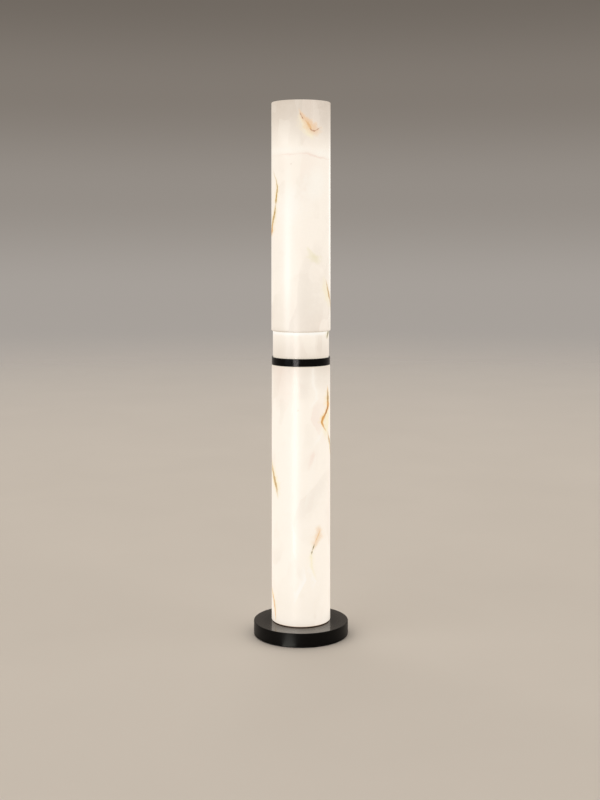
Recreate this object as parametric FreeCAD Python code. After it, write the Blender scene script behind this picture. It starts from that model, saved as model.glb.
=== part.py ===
import FreeCAD, Part

# Column floor lamp, in millimetres, +Z up, origin on the floor under the middle of the base.
#
# A heavy black steel disc carries a lower column of translucent veined stone.  A black coupling
# ring sits on the column and carries a narrower stone tube, whose foot shows as a pale neck.  An
# outer stone sleeve, a little wider than the column, hangs over that tube: its lower end rests on
# the tube's shoulder, so it turns by hand and lifts straight off.  A hollow steel rod runs up the
# middle and clamps base, seat, coupling ring and cap together through two square aluminium
# extrusions, so the stone itself only stands between soft gaskets.  Light strips line the four
# sides of each extrusion, inside an opal tube.  The supply sits in a pocket under the base.

import math
import os

# Floor pad and base disc
PAD_THICKNESS = 2.0
PAD_INSET = 4.0
PAD_WIDTH = 28.0
BASE_DIAMETER = 248.0
BASE_WEB = 11.0
BASE_TOP_CHAMFER = 1.0
BASE_BOTTOM_CHAMFER = 0.6

# Pocket under the base, its cover and the cover's countersunk screws
POCKET_AIR = 3.4
COVER_LEDGE = 10.0
COVER_THICKNESS = 2.0
COVER_GAP = 0.3
COVER_SCREW_COUNT = 4
COVER_SCREW_THREAD = 3.0
COVER_SCREW_LENGTH = 9.0
COVER_SCREW_HEAD = 6.0
COVER_SCREW_HEAD_HEIGHT = 1.7
COVER_SCREW_KEY = 2.0
COVER_SCREW_KEY_DEPTH = 1.0
COVER_SCREW_START = 45.0

# Supply unit in the pocket
DRIVER_BODY_LENGTH = 70.0
DRIVER_WIDTH = 40.0
DRIVER_HEIGHT = 20.0
DRIVER_EAR = 7.0
DRIVER_EAR_WIDTH = 20.0
DRIVER_EAR_THICKNESS = 3.0
DRIVER_AIR = 2.0
DRIVER_ROUND = 2.0
DRIVER_CHANNEL = 8.0

# Terminal block and earth point in the pocket
TERMINAL_LENGTH = 28.0
TERMINAL_WIDTH = 16.0
TERMINAL_HEIGHT = 13.0
TERMINAL_WAYS = 3
TERMINAL_WAY_HEIGHT = 4.3
TERMINAL_FROM_ROD = 34.0
EARTH_FROM_TERMINAL = 16.0
EARTH_SCREW_THREAD = 4.0
EARTH_EYE_DIAMETER = 9.0
EARTH_EYE_THICKNESS = 1.0
EARTH_TONGUE = 6.0
EARTH_TONGUE_WIDTH = 3.0
EARTH_BARREL_LENGTH = 6.0
EARTH_BARREL_WALL = 0.8
EARTH_BARREL_DROP = 0.2

# Pan-head screws that hold the supply unit and the terminal block
SMALL_SCREW_THREAD = 3.0
SMALL_SCREW_HEAD = 5.6
SMALL_SCREW_HEAD_HEIGHT = 2.2
SMALL_SCREW_BITE = 7.0
EARTH_SCREW_HEAD = 7.6
EARTH_SCREW_HEAD_HEIGHT = 2.8
PAN_HEAD_ROUND = 0.8
PAN_SLOT_DEPTH = 1.0
PAN_SLOT_WIDTH = 0.8
PAN_SLOT_END = 0.6

# Cord gland in the back of the base
GLAND_BORE = 7.2
GLAND_THREAD = 12.0
GLAND_BODY_LENGTH = 12.0
GLAND_HEAD_DIAMETER = 16.0
GLAND_HEAD_LENGTH = 4.0
GLAND_HEAD_GAP = 1.2
GLAND_RECESS = 5.0
GLAND_HEAD_ROUND = 1.2
CORD_PASSAGE = 8.6

# Stone: lower column, neck tube, outer sleeve and the disc that closes it
COLUMN_DIAMETER = 154.0
COLUMN_WALL = 10.0
COLUMN_LENGTH = 667.0
NECK_STEP = 3.0
NECK_HEIGHT = 65.5
TUBE_WALL = 9.5
TUBE_SPIGOT_LENGTH = 462.5
SLEEVE_OVERHANG = 4.0
SLEEVE_WALL = 8.0
SLEEVE_CLEARANCE = 0.5
SLEEVE_LENGTH = 600.0
SLEEVE_TOP_ROUND = 2.0
SLEEVE_FOOT_CHAMFER = 1.0
CLOSING_DISC_THICKNESS = 10.0
CLOSING_DISC_LEDGE = 3.0
CLOSING_DISC_GAP = 0.2
STONE_CHAMFER = 1.0
STONE_SEAT_GAP = 0.5

# Soft rings between stone and metal, and the ring that the sleeve turns on
FOOT_GASKET_THICKNESS = 1.0
JOINT_GASKET_THICKNESS = 3.0
CAP_GASKET_THICKNESS = 1.0
REST_RING_THICKNESS = 1.5
REST_RING_INSET = 0.5

# Metal plates: seat, coupling ring and cap
SEAT_THICKNESS = 2.0
SEAT_INSET = 2.0
COUPLING_HEIGHT = 20.0
COUPLING_CHAMFER = 0.4
CAP_FLANGE_THICKNESS = 4.0
CAP_FLANGE_LEDGE = 4.0
CAP_FLANGE_GAP = 0.4
SPIGOT_HEIGHT = 8.0
BOSS_HEIGHT = 5.0
SOCKET_DEPTH = 3.0
SOCKET_GAP = 0.2

# Opal tubes, square extrusions, light strips and the boards that join them
DIFFUSER_AIR = 10.0
DIFFUSER_WALL = 2.5
DIFFUSER_FIT = 0.3
DIFFUSER_END_GAP = 0.5
BAR_SIDE = 40.0
BAR_WALL = 2.5
STRIP_WIDTH = 12.0
STRIP_THICKNESS = 1.6
STRIP_END_GAP = 12.0
CHIP_PITCH = 26.0
CHIP_LENGTH = 3.5
CHIP_WIDTH = 2.8
CHIP_HEIGHT = 0.9
BOARD_EDGE_GAP = 2.5
BOARD_THICKNESS = 1.6
BOARD_GAP = 0.3

# Clamping rod with its nuts and washers, and the screws that hold the seat
ROD_DIAMETER = 10.0
ROD_BORE = 6.0
ROD_PAST_NUT = 4.0
ROD_CLEARANCE = 0.2
NUT_FLATS = 17.0
NUT_HEIGHT = 8.0
WASHER_DIAMETER = 20.0
WASHER_THICKNESS = 2.0
THREAD_GAP = 0.05
SEAT_SCREW_COUNT = 3
SEAT_SCREW_EDGE = 4.65
SEAT_SCREW_THREAD = 5.0
SEAT_SCREW_HEAD = 8.5
SEAT_SCREW_HEAD_HEIGHT = 5.0
SEAT_SCREW_KEY = 4.0
SEAT_SCREW_KEY_DEPTH = 3.0
SEAT_SCREW_BITE = 9.0
SCREW_HEAD_GAP = 0.3

# Leads between terminal block, supply unit, earth point and light boards
LEAD_DIAMETER = 2.4
LEAD_SPACING = 4.0
LEAD_GRIP = 4.0
LEAD_FIT = 0.1
LEAD_HOLE = 6.0
LEAD_HOLE_OFFSET = 12.5
LEAD_RISE = 18.0
LEAD_RUN_IN = 25.0
LEAD_REACH = 16.0
LEAD_BOARD_REACH = 13.0
LEAD_SIDE_REACH = 12.0
LEAD_SIDE_STEP = 9.0
BEND_SHARE = 0.45

# Heights, worked up from the floor
base_z = PAD_THICKNESS
pocket_depth = COVER_THICKNESS + DRIVER_AIR + DRIVER_HEIGHT
web_z = base_z + pocket_depth
base_top = web_z + BASE_WEB
seat_top = base_top + SEAT_THICKNESS
column_z = seat_top + FOOT_GASKET_THICKNESS
column_top = column_z + COLUMN_LENGTH
coupling_z = column_top + JOINT_GASKET_THICKNESS
coupling_top = coupling_z + COUPLING_HEIGHT
neck_z = coupling_top + JOINT_GASKET_THICKNESS
shoulder_z = neck_z + NECK_HEIGHT
sleeve_z = shoulder_z + REST_RING_THICKNESS
sleeve_top = sleeve_z + SLEEVE_LENGTH
tube_top = shoulder_z + TUBE_SPIGOT_LENGTH
cap_z = tube_top - CAP_FLANGE_THICKNESS

# Diameters, worked in from the column
column_bore = COLUMN_DIAMETER - 2 * COLUMN_WALL
neck_diameter = COLUMN_DIAMETER - 2 * NECK_STEP
sleeve_diameter = neck_diameter + 2 * SLEEVE_OVERHANG
sleeve_bore = sleeve_diameter - 2 * SLEEVE_WALL
tube_diameter = sleeve_bore - 2 * SLEEVE_CLEARANCE
tube_bore = tube_diameter - 2 * TUBE_WALL
diffuser_diameter = tube_bore - 2 * DIFFUSER_AIR
diffuser_bore = diffuser_diameter - 2 * DIFFUSER_WALL
boss_diameter = diffuser_bore - 2 * DIFFUSER_FIT
seat_diameter = COLUMN_DIAMETER - 2 * SEAT_INSET
column_spigot = column_bore - 2 * STONE_SEAT_GAP
tube_spigot = tube_bore - 2 * STONE_SEAT_GAP
cap_rebate = tube_bore + 2 * CAP_FLANGE_LEDGE
disc_rebate = sleeve_bore + 2 * CLOSING_DISC_LEDGE
seat_screw_circle = boss_diameter - 2 * SEAT_SCREW_EDGE - SEAT_SCREW_HEAD - 2 * SCREW_HEAD_GAP

# The pocket is as wide as the supply unit's far corners need
driver_near_y = -(WASHER_DIAMETER / 2 + DRIVER_CHANNEL)
driver_far_y = driver_near_y - DRIVER_WIDTH
driver_mid_y = (driver_near_y + driver_far_y) / 2
driver_length = DRIVER_BODY_LENGTH + 2 * DRIVER_EAR
pocket_radius = math.hypot(driver_length / 2, driver_far_y) + POCKET_AIR
cover_radius = pocket_radius + COVER_LEDGE
cover_screw_radius = pocket_radius + COVER_LEDGE / 2
base_radius = BASE_DIAMETER / 2
gland_z = base_z + COVER_THICKNESS + (pocket_depth - COVER_THICKNESS) / 2
gland_face_y = base_radius - GLAND_RECESS + GLAND_HEAD_LENGTH

# The two square sockets of each section, floor to floor, set the extrusions' lengths
lower_bar_z = seat_top + SPIGOT_HEIGHT + BOSS_HEIGHT - SOCKET_DEPTH
lower_bar_top = coupling_z - SPIGOT_HEIGHT - BOSS_HEIGHT + SOCKET_DEPTH
upper_bar_z = coupling_top + SPIGOT_HEIGHT + BOSS_HEIGHT - SOCKET_DEPTH
upper_bar_top = cap_z - SPIGOT_HEIGHT - BOSS_HEIGHT + SOCKET_DEPTH

UP = FreeCAD.Vector(0, 0, 1)
AXIS_POINT = FreeCAD.Vector(0, 0, 0)
SAME_PLACE = 0.001


def disc(diameter, z, height, x=0.0, y=0.0):
    """A solid disc standing on height z, centred on (x, y)."""
    return Part.makeCylinder(diameter / 2, height, FreeCAD.Vector(x, y, z), UP)


def ring(outer, bore, z, height):
    """A flat ring round the axis, standing on height z."""
    return disc(outer, z, height).cut(disc(bore, z, height))


def along_y(diameter, y_start, y_end, x, z):
    """A round bar along +Y between two y places."""
    place = FreeCAD.Vector(x, y_start, z)
    return Part.makeCylinder(diameter / 2, y_end - y_start, place, FreeCAD.Vector(0, 1, 0))


def block(length, width, height, x, y, z):
    """A box centred on (x, y) and standing on height z."""
    return Part.makeBox(length, width, height, FreeCAD.Vector(x - length / 2, y - width / 2, z))


def square_tube(side, hole, z, height):
    """A square tube round the lamp's axis."""
    return block(side, side, height, 0, 0, z).cut(block(hole, hole, height, 0, 0, z))


def hexagon(flats, z, height, x=0.0, y=0.0):
    """A hexagonal prism, measured across its flats."""
    corner = flats / math.sqrt(3)
    points = []
    for step in range(7):
        angle = math.radians(60 * step)
        points.append(FreeCAD.Vector(x + corner * math.cos(angle), y + corner * math.sin(angle), z))
    return Part.Face(Part.makePolygon(points)).extrude(FreeCAD.Vector(0, 0, height))


def on_circle(count, diameter, start=90.0):
    """Evenly spaced (x, y) places on a circle round the axis."""
    places = []
    for step in range(count):
        angle = math.radians(start + 360.0 * step / count)
        places.append((diameter / 2 * math.cos(angle), diameter / 2 * math.sin(angle)))
    return places


def rims(shape, diameter, z, x=0.0, y=0.0):
    """The shape's circular edges of one diameter centred on (x, y, z)."""
    place = FreeCAD.Vector(x, y, z)
    found = []
    for edge in shape.Edges:
        if not isinstance(edge.Curve, Part.Circle):
            continue
        off_centre = edge.Curve.Center.distanceToPoint(place)
        off_size = abs(edge.Curve.Radius - diameter / 2)
        if off_centre < SAME_PLACE and off_size < SAME_PLACE:
            found.append(edge)
    return found


def pan_screw(thread, head, head_height, bite, x, y, z):
    """A pan-head screw driven upwards: its head hangs under height z, its shank bites above it."""
    screw = disc(head, z - head_height, head_height, x, y)
    screw = screw.makeFillet(PAN_HEAD_ROUND, rims(screw, head, z - head_height, x, y))
    slot_length = head - 2 * (PAN_HEAD_ROUND + PAN_SLOT_END)
    slot = block(slot_length, PAN_SLOT_WIDTH, PAN_SLOT_DEPTH, x, y, z - head_height)
    return screw.cut(slot).fuse(disc(thread, z, bite, x, y)).removeSplitter()


def lead(name, points):
    """A round lead along straight runs joined by tangent arcs, each as large as its runs allow."""
    corners = [FreeCAD.Vector(*point) for point in points]
    edges = []
    radii = []
    start = corners[0]
    for before, corner, after in zip(corners, corners[1:], corners[2:]):
        back = BEND_SHARE * min(before.distanceToPoint(corner), after.distanceToPoint(corner))
        inwards = (before - corner).normalize()
        outwards = (after - corner).normalize()
        half_corner = inwards.getAngle(outwards) / 2
        radius = back * math.tan(half_corner)
        middle = (inwards + outwards).normalize()
        arc_start = corner + inwards * back
        arc_end = corner + outwards * back
        arc_middle = corner + middle * (radius / math.sin(half_corner) - radius)
        edges.append(Part.LineSegment(start, arc_start).toShape())
        edges.append(Part.Arc(arc_start, arc_middle, arc_end).toShape())
        radii.append(radius)
        start = arc_end
    edges.append(Part.LineSegment(start, corners[-1]).toShape())
    path = Part.Wire(edges)
    section = Part.Wire(
        [Part.makeCircle(LEAD_DIAMETER / 2, corners[0], corners[1] - corners[0])]
    )
    tube = path.makePipeShell([section], True, False)
    share = tube.Volume / (math.pi * LEAD_DIAMETER**2 / 4 * path.Length)
    bends = ", ".join(f"{radius:.1f}" for radius in radii)
    print(f"{name}: length {path.Length:.1f}, bend radii {bends}, volume share {share:.4f}")
    return tube


# ---------------------------------------------------------------- base


def driver_screw_places():
    """Where the supply unit's two ears are screwed up into the base."""
    reach = DRIVER_BODY_LENGTH / 2 + DRIVER_EAR / 2
    return [(-reach, driver_mid_y), (reach, driver_mid_y)]


def terminal_mid_y():
    """The terminal block's middle, behind the rod."""
    return TERMINAL_FROM_ROD + TERMINAL_WIDTH / 2


def earth_place():
    """The earth screw's place in the pocket, beside the terminal block."""
    return TERMINAL_LENGTH / 2 + EARTH_FROM_TERMINAL, terminal_mid_y()


def cover_screw_places():
    """The cover's screws, spaced round its ledge."""
    return on_circle(COVER_SCREW_COUNT, 2 * cover_screw_radius, COVER_SCREW_START)


def lead_holes():
    """The two lead holes beside the rod: the upper section's lead, then the lower section's."""
    return [(LEAD_HOLE_OFFSET, LEAD_HOLE_OFFSET), (LEAD_HOLE_OFFSET, -LEAD_HOLE_OFFSET)]


def floor_pad():
    """Non-slip pad stuck under the base, near its rim."""
    outer = BASE_DIAMETER - 2 * PAD_INSET
    return ring(outer, outer - 2 * PAD_WIDTH, 0, PAD_THICKNESS)


def base_disc():
    """Steel disc with the supply pocket, the cord passage and the holes in its web."""
    body = disc(BASE_DIAMETER, base_z, base_top - base_z)
    body = body.makeChamfer(BASE_TOP_CHAMFER, rims(body, BASE_DIAMETER, base_top))
    body = body.makeChamfer(BASE_BOTTOM_CHAMFER, rims(body, BASE_DIAMETER, base_z))
    cuts = [
        disc(2 * pocket_radius, base_z, pocket_depth),
        disc(2 * (cover_radius + COVER_GAP), base_z, COVER_THICKNESS),
        disc(ROD_DIAMETER + 2 * ROD_CLEARANCE, web_z, BASE_WEB),
    ]
    for x, y in lead_holes():
        cuts.append(disc(LEAD_HOLE, web_z, BASE_WEB, x, y))
    for x, y in on_circle(SEAT_SCREW_COUNT, seat_screw_circle):
        depth = SEAT_SCREW_BITE + THREAD_GAP
        cuts.append(disc(SEAT_SCREW_THREAD + 2 * THREAD_GAP, base_top - depth, depth, x, y))
    for x, y in cover_screw_places():
        hole = COVER_SCREW_LENGTH - COVER_THICKNESS + THREAD_GAP
        cuts.append(disc(COVER_SCREW_THREAD + 2 * THREAD_GAP, base_z + COVER_THICKNESS, hole, x, y))
    for x, y in driver_screw_places() + [(0, terminal_mid_y())]:
        hole = SMALL_SCREW_BITE + THREAD_GAP
        cuts.append(disc(SMALL_SCREW_THREAD + 2 * THREAD_GAP, web_z, hole, x, y))
    earth_x, earth_y = earth_place()
    hole = SMALL_SCREW_BITE + THREAD_GAP
    cuts.append(disc(EARTH_SCREW_THREAD + 2 * THREAD_GAP, web_z, hole, earth_x, earth_y))
    cuts += gland_room()
    return body.cut(cuts)


def gland_bar(diameter, y_start, y_end):
    """A round bar along the gland's axis."""
    return along_y(diameter, y_start, y_end, 0, gland_z)


def gland_room():
    """The recess, the tapped hole and the cord passage behind the gland."""
    head_y = base_radius - GLAND_RECESS
    recess = gland_bar(GLAND_HEAD_DIAMETER + 2 * GLAND_HEAD_GAP, head_y, base_radius + 1)
    body_y = head_y - GLAND_BODY_LENGTH
    tapped = gland_bar(GLAND_THREAD + 2 * THREAD_GAP, body_y, head_y)
    passage = gland_bar(CORD_PASSAGE, pocket_radius - POCKET_AIR, body_y)
    return [recess, tapped, passage]


def cord_gland():
    """Bush that the supply cord leaves through, set in the back of the base."""
    head_y = base_radius - GLAND_RECESS
    head = gland_bar(GLAND_HEAD_DIAMETER, head_y, gland_face_y)
    rim = rims(head, GLAND_HEAD_DIAMETER, gland_z, 0, gland_face_y)
    head = head.makeFillet(GLAND_HEAD_ROUND, rim)
    body = gland_bar(GLAND_THREAD, head_y - GLAND_BODY_LENGTH, head_y)
    bore = gland_bar(GLAND_BORE, head_y - GLAND_BODY_LENGTH, gland_face_y)
    return head.fuse(body).cut(bore).removeSplitter()


def base_cover():
    """Thin plate that closes the pocket, with countersunk screw holes."""
    plate = disc(2 * cover_radius, base_z, COVER_THICKNESS)
    holes = []
    for x, y in cover_screw_places():
        holes.append(countersunk_screw(x, y, THREAD_GAP))
    return plate.cut(holes)


def countersunk_screw(x, y, gap=0.0):
    """A countersunk screw driven upwards from the cover's face, grown by a gap for its hole."""
    narrow = COVER_SCREW_THREAD / 2 + gap
    wide = COVER_SCREW_HEAD / 2 + gap
    foot = FreeCAD.Vector(x, y, base_z)
    head = Part.makeCone(wide, narrow, COVER_SCREW_HEAD_HEIGHT, foot, UP)
    return head.fuse(disc(2 * narrow, base_z, COVER_SCREW_LENGTH, x, y)).removeSplitter()


def cover_screws():
    """The cover's screws, with their key sockets."""
    screws = []
    for x, y in cover_screw_places():
        key = hexagon(COVER_SCREW_KEY, base_z, COVER_SCREW_KEY_DEPTH, x, y)
        screws.append(countersunk_screw(x, y).cut(key))
    return Part.makeCompound(screws)


def driver():
    """Supply unit screwed up under the base's web by an ear at each end."""
    body_z = web_z - DRIVER_HEIGHT
    body = block(DRIVER_BODY_LENGTH, DRIVER_WIDTH, DRIVER_HEIGHT, 0, driver_mid_y, body_z)
    corners = []
    for edge in body.Edges:
        ends = [vertex.Point.z for vertex in edge.Vertexes]
        if min(ends) < web_z - SAME_PLACE:
            corners.append(edge)
    body = body.makeFillet(DRIVER_ROUND, corners)
    ear_z = web_z - DRIVER_EAR_THICKNESS
    ears = block(driver_length, DRIVER_EAR_WIDTH, DRIVER_EAR_THICKNESS, 0, driver_mid_y, ear_z)
    body = body.fuse(ears).removeSplitter()
    holes = []
    for x, y in driver_screw_places():
        holes.append(disc(SMALL_SCREW_THREAD + 2 * THREAD_GAP, ear_z, DRIVER_EAR_THICKNESS, x, y))
    return body.cut(holes)


def driver_screws():
    """Two pan-head screws through the supply unit's ears."""
    screws = []
    bite = SMALL_SCREW_BITE + DRIVER_EAR_THICKNESS
    for x, y in driver_screw_places():
        z = web_z - DRIVER_EAR_THICKNESS
        screws.append(
            pan_screw(SMALL_SCREW_THREAD, SMALL_SCREW_HEAD, SMALL_SCREW_HEAD_HEIGHT, bite, x, y, z)
        )
    return Part.makeCompound(screws)


def terminal_way_places():
    """The x places of the terminal block's wire ways, clear of its middle screw."""
    pitch = TERMINAL_LENGTH / (TERMINAL_WAYS + 1)
    return [(way - (TERMINAL_WAYS - 1) / 2) * pitch for way in range(TERMINAL_WAYS)]


def terminal_z():
    """The terminal block's underside."""
    return web_z - TERMINAL_HEIGHT


def way_z():
    """The height of the terminal block's wire ways, and of the leads in the pocket."""
    return terminal_z() + TERMINAL_WAY_HEIGHT


def terminal_block():
    """Block that joins the supply cord's wires to the lamp's own."""
    near = TERMINAL_FROM_ROD
    far = near + TERMINAL_WIDTH
    body = block(TERMINAL_LENGTH, TERMINAL_WIDTH, TERMINAL_HEIGHT, 0, terminal_mid_y(), terminal_z())
    bore = SMALL_SCREW_THREAD + 2 * THREAD_GAP
    cuts = [disc(bore, terminal_z(), TERMINAL_HEIGHT, 0, terminal_mid_y())]
    way_bore = LEAD_DIAMETER + 2 * LEAD_FIT
    for x in terminal_way_places():
        cuts.append(along_y(way_bore, near, near + LEAD_GRIP, x, way_z()))
        cuts.append(along_y(way_bore, far - LEAD_GRIP, far, x, way_z()))
    return body.cut(cuts)


def terminal_screw():
    """The screw that holds the terminal block."""
    bite = SMALL_SCREW_BITE + TERMINAL_HEIGHT
    sizes = (SMALL_SCREW_THREAD, SMALL_SCREW_HEAD, SMALL_SCREW_HEAD_HEIGHT, bite)
    return pan_screw(*sizes, 0, terminal_mid_y(), terminal_z())


def earth_barrel():
    """The earth lug's crimp barrel: its outside diameter, its height and its two ends in y."""
    outside = LEAD_DIAMETER + 2 * (LEAD_FIT + EARTH_BARREL_WALL)
    z = web_z - EARTH_BARREL_DROP - outside / 2
    y_end = earth_place()[1] - EARTH_TONGUE
    return outside, z, y_end - EARTH_BARREL_LENGTH, y_end


def earth_lug():
    """Ring terminal clamped to the base, with a tongue and a crimp barrel for its lead."""
    x, y = earth_place()
    z = web_z - EARTH_EYE_THICKNESS
    outside, barrel_z, y_start, y_end = earth_barrel()
    eye = disc(EARTH_EYE_DIAMETER, z, EARTH_EYE_THICKNESS, x, y)
    length = y - y_start
    tongue = block(EARTH_TONGUE_WIDTH, length, EARTH_EYE_THICKNESS, x, y - length / 2, z)
    barrel = along_y(outside, y_start, y_end, x, barrel_z)
    bore = along_y(outside - 2 * EARTH_BARREL_WALL, y_start, y_start + LEAD_GRIP, x, barrel_z)
    hole = disc(EARTH_SCREW_THREAD + 2 * THREAD_GAP, z, EARTH_EYE_THICKNESS, x, y)
    return eye.fuse([tongue, barrel]).cut([hole, bore]).removeSplitter()


def earth_screw():
    """The screw that clamps the earth lug to the base."""
    x, y = earth_place()
    bite = SMALL_SCREW_BITE + EARTH_EYE_THICKNESS
    sizes = (EARTH_SCREW_THREAD, EARTH_SCREW_HEAD, EARTH_SCREW_HEAD_HEIGHT, bite)
    return pan_screw(*sizes, x, y, web_z - EARTH_EYE_THICKNESS)


# ---------------------------------------------------------------- metal plates


def stage(spigot, z, direction):
    """A plate's stepped face: a spigot for the stone's bore, then a boss for the opal tube.

    direction is 1 where the stage stands up from height z, and -1 where it hangs down.
    """
    low = z if direction > 0 else z - SPIGOT_HEIGHT
    step = disc(spigot, low, SPIGOT_HEIGHT)
    boss_low = z + SPIGOT_HEIGHT if direction > 0 else z - SPIGOT_HEIGHT - BOSS_HEIGHT
    return step.fuse(disc(boss_diameter, boss_low, BOSS_HEIGHT))


def socket(z, direction):
    """The square pocket that an extrusion's end sits in, from the boss's face inwards."""
    side = BAR_SIDE + 2 * SOCKET_GAP
    face = z + direction * (SPIGOT_HEIGHT + BOSS_HEIGHT)
    low = face - SOCKET_DEPTH if direction > 0 else face
    return block(side, side, SOCKET_DEPTH, 0, 0, low)


def rod_and_lead_holes(z, height, places):
    """Through holes for the rod and for leads, over one span of height."""
    holes = [disc(ROD_DIAMETER + 2 * ROD_CLEARANCE, z, height)]
    for x, y in places:
        holes.append(disc(LEAD_HOLE, z, height, x, y))
    return holes


def seat_screw_z():
    """The underside of the seat screws' heads."""
    return seat_top + SPIGOT_HEIGHT + BOSS_HEIGHT - SEAT_SCREW_HEAD_HEIGHT


def lower_seat():
    """Flange bolted on the base: it centres the column, the opal tube and the extrusion."""
    body = disc(seat_diameter, base_top, SEAT_THICKNESS).fuse(stage(column_spigot, seat_top, 1))
    body = body.removeSplitter()
    height = seat_top + SPIGOT_HEIGHT + BOSS_HEIGHT - base_top
    cuts = [socket(seat_top, 1)] + rod_and_lead_holes(base_top, height, lead_holes())
    for x, y in on_circle(SEAT_SCREW_COUNT, seat_screw_circle):
        cuts.append(disc(SEAT_SCREW_THREAD + 2 * ROD_CLEARANCE, base_top, height, x, y))
        head = SEAT_SCREW_HEAD + 2 * SCREW_HEAD_GAP
        cuts.append(disc(head, seat_screw_z(), SEAT_SCREW_HEAD_HEIGHT, x, y))
    return body.cut(cuts)


def seat_screws():
    """Three cap screws that hold the seat on the base."""
    screws = []
    z = seat_screw_z()
    for x, y in on_circle(SEAT_SCREW_COUNT, seat_screw_circle):
        head = disc(SEAT_SCREW_HEAD, z, SEAT_SCREW_HEAD_HEIGHT, x, y)
        key_z = z + SEAT_SCREW_HEAD_HEIGHT - SEAT_SCREW_KEY_DEPTH
        key = hexagon(SEAT_SCREW_KEY, key_z, SEAT_SCREW_KEY_DEPTH, x, y)
        shank_z = base_top - SEAT_SCREW_BITE
        shank = disc(SEAT_SCREW_THREAD, shank_z, z - shank_z, x, y)
        screws.append(head.fuse(shank).removeSplitter().cut(key))
    return Part.makeCompound(screws)


def coupling_ring():
    """Black ring between the column and the neck, stepped inside both stone bores."""
    body = disc(COLUMN_DIAMETER, coupling_z, COUPLING_HEIGHT)
    edges = rims(body, COLUMN_DIAMETER, coupling_z) + rims(body, COLUMN_DIAMETER, coupling_top)
    body = body.makeChamfer(COUPLING_CHAMFER, edges)
    body = body.fuse([stage(column_spigot, coupling_z, -1), stage(tube_spigot, coupling_top, 1)])
    low = coupling_z - SPIGOT_HEIGHT - BOSS_HEIGHT
    height = COUPLING_HEIGHT + 2 * (SPIGOT_HEIGHT + BOSS_HEIGHT)
    cuts = [socket(coupling_z, -1), socket(coupling_top, 1)]
    cuts += rod_and_lead_holes(low, height, lead_holes()[:1])
    return body.removeSplitter().cut(cuts)


def tube_cap():
    """Metal cap sunk in the top of the neck tube, which the rod's top nut clamps down."""
    body = disc(cap_rebate - 2 * CAP_FLANGE_GAP, cap_z, CAP_FLANGE_THICKNESS)
    body = body.fuse(stage(tube_spigot, cap_z, -1)).removeSplitter()
    low = cap_z - SPIGOT_HEIGHT - BOSS_HEIGHT
    height = tube_top - low
    return body.cut([socket(cap_z, -1)] + rod_and_lead_holes(low, height, []))


# ---------------------------------------------------------------- stone


def lower_column():
    """Lower stone column, a plain tube with broken outer edges."""
    body = ring(COLUMN_DIAMETER, column_bore, column_z, COLUMN_LENGTH)
    edges = rims(body, COLUMN_DIAMETER, column_z) + rims(body, COLUMN_DIAMETER, column_top)
    return body.makeChamfer(STONE_CHAMFER, edges)


def neck_tube():
    """Stone tube turned with a shoulder: the neck below shows, the spigot above is sleeved."""
    body = disc(neck_diameter, neck_z, NECK_HEIGHT)
    body = body.makeChamfer(STONE_CHAMFER, rims(body, neck_diameter, neck_z))
    body = body.fuse(disc(tube_diameter, shoulder_z, TUBE_SPIGOT_LENGTH))
    body = body.cut(disc(tube_bore, neck_z, tube_top - neck_z))
    rebate_z = cap_z - CAP_GASKET_THICKNESS
    return body.cut(disc(cap_rebate, rebate_z, tube_top - rebate_z)).removeSplitter()


def outer_sleeve():
    """Outer stone sleeve, open below, with a rebate at the top for the closing disc."""
    body = disc(sleeve_diameter, sleeve_z, SLEEVE_LENGTH)
    body = body.makeFillet(SLEEVE_TOP_ROUND, rims(body, sleeve_diameter, sleeve_top))
    body = body.makeChamfer(SLEEVE_FOOT_CHAMFER, rims(body, sleeve_diameter, sleeve_z))
    body = body.cut(disc(sleeve_bore, sleeve_z, SLEEVE_LENGTH))
    rebate_z = sleeve_top - CLOSING_DISC_THICKNESS
    return body.cut(disc(disc_rebate, rebate_z, CLOSING_DISC_THICKNESS))


def closing_disc():
    """Stone disc bonded flush into the top of the sleeve."""
    z = sleeve_top - CLOSING_DISC_THICKNESS
    return disc(disc_rebate - 2 * CLOSING_DISC_GAP, z, CLOSING_DISC_THICKNESS)


# ---------------------------------------------------------------- soft rings


def foot_gasket():
    """Dark soft ring between the seat and the column's foot."""
    return ring(seat_diameter, column_bore, seat_top, FOOT_GASKET_THICKNESS)


def column_gasket():
    """Clear soft ring between the column's top and the coupling ring."""
    outer = COLUMN_DIAMETER - 2 * STONE_CHAMFER
    return ring(outer, column_bore, column_top, JOINT_GASKET_THICKNESS)


def neck_gasket():
    """Clear soft ring between the coupling ring and the neck's foot."""
    outer = neck_diameter - 2 * STONE_CHAMFER
    return ring(outer, tube_bore, coupling_top, JOINT_GASKET_THICKNESS)


def cap_gasket():
    """Soft ring under the cap's flange, in the neck tube's rebate."""
    outer = cap_rebate - 2 * CAP_FLANGE_GAP
    return ring(outer, tube_bore, cap_z - CAP_GASKET_THICKNESS, CAP_GASKET_THICKNESS)


def rest_ring():
    """Slippery ring on the neck tube's shoulder, which the sleeve rests and turns on."""
    outer = neck_diameter - 2 * REST_RING_INSET
    return ring(outer, tube_diameter + 2 * SLEEVE_CLEARANCE, shoulder_z, REST_RING_THICKNESS)


# ---------------------------------------------------------------- light


def opal_tube(z, top):
    """An opal tube between two plates' spigot faces."""
    return ring(diffuser_diameter, diffuser_bore, z, top - z - DIFFUSER_END_GAP)


def lower_diffuser():
    """Opal tube inside the lower column."""
    return opal_tube(seat_top + SPIGOT_HEIGHT, coupling_z - SPIGOT_HEIGHT)


def upper_diffuser():
    """Opal tube inside the neck tube."""
    return opal_tube(coupling_top + SPIGOT_HEIGHT, cap_z - SPIGOT_HEIGHT)


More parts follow.
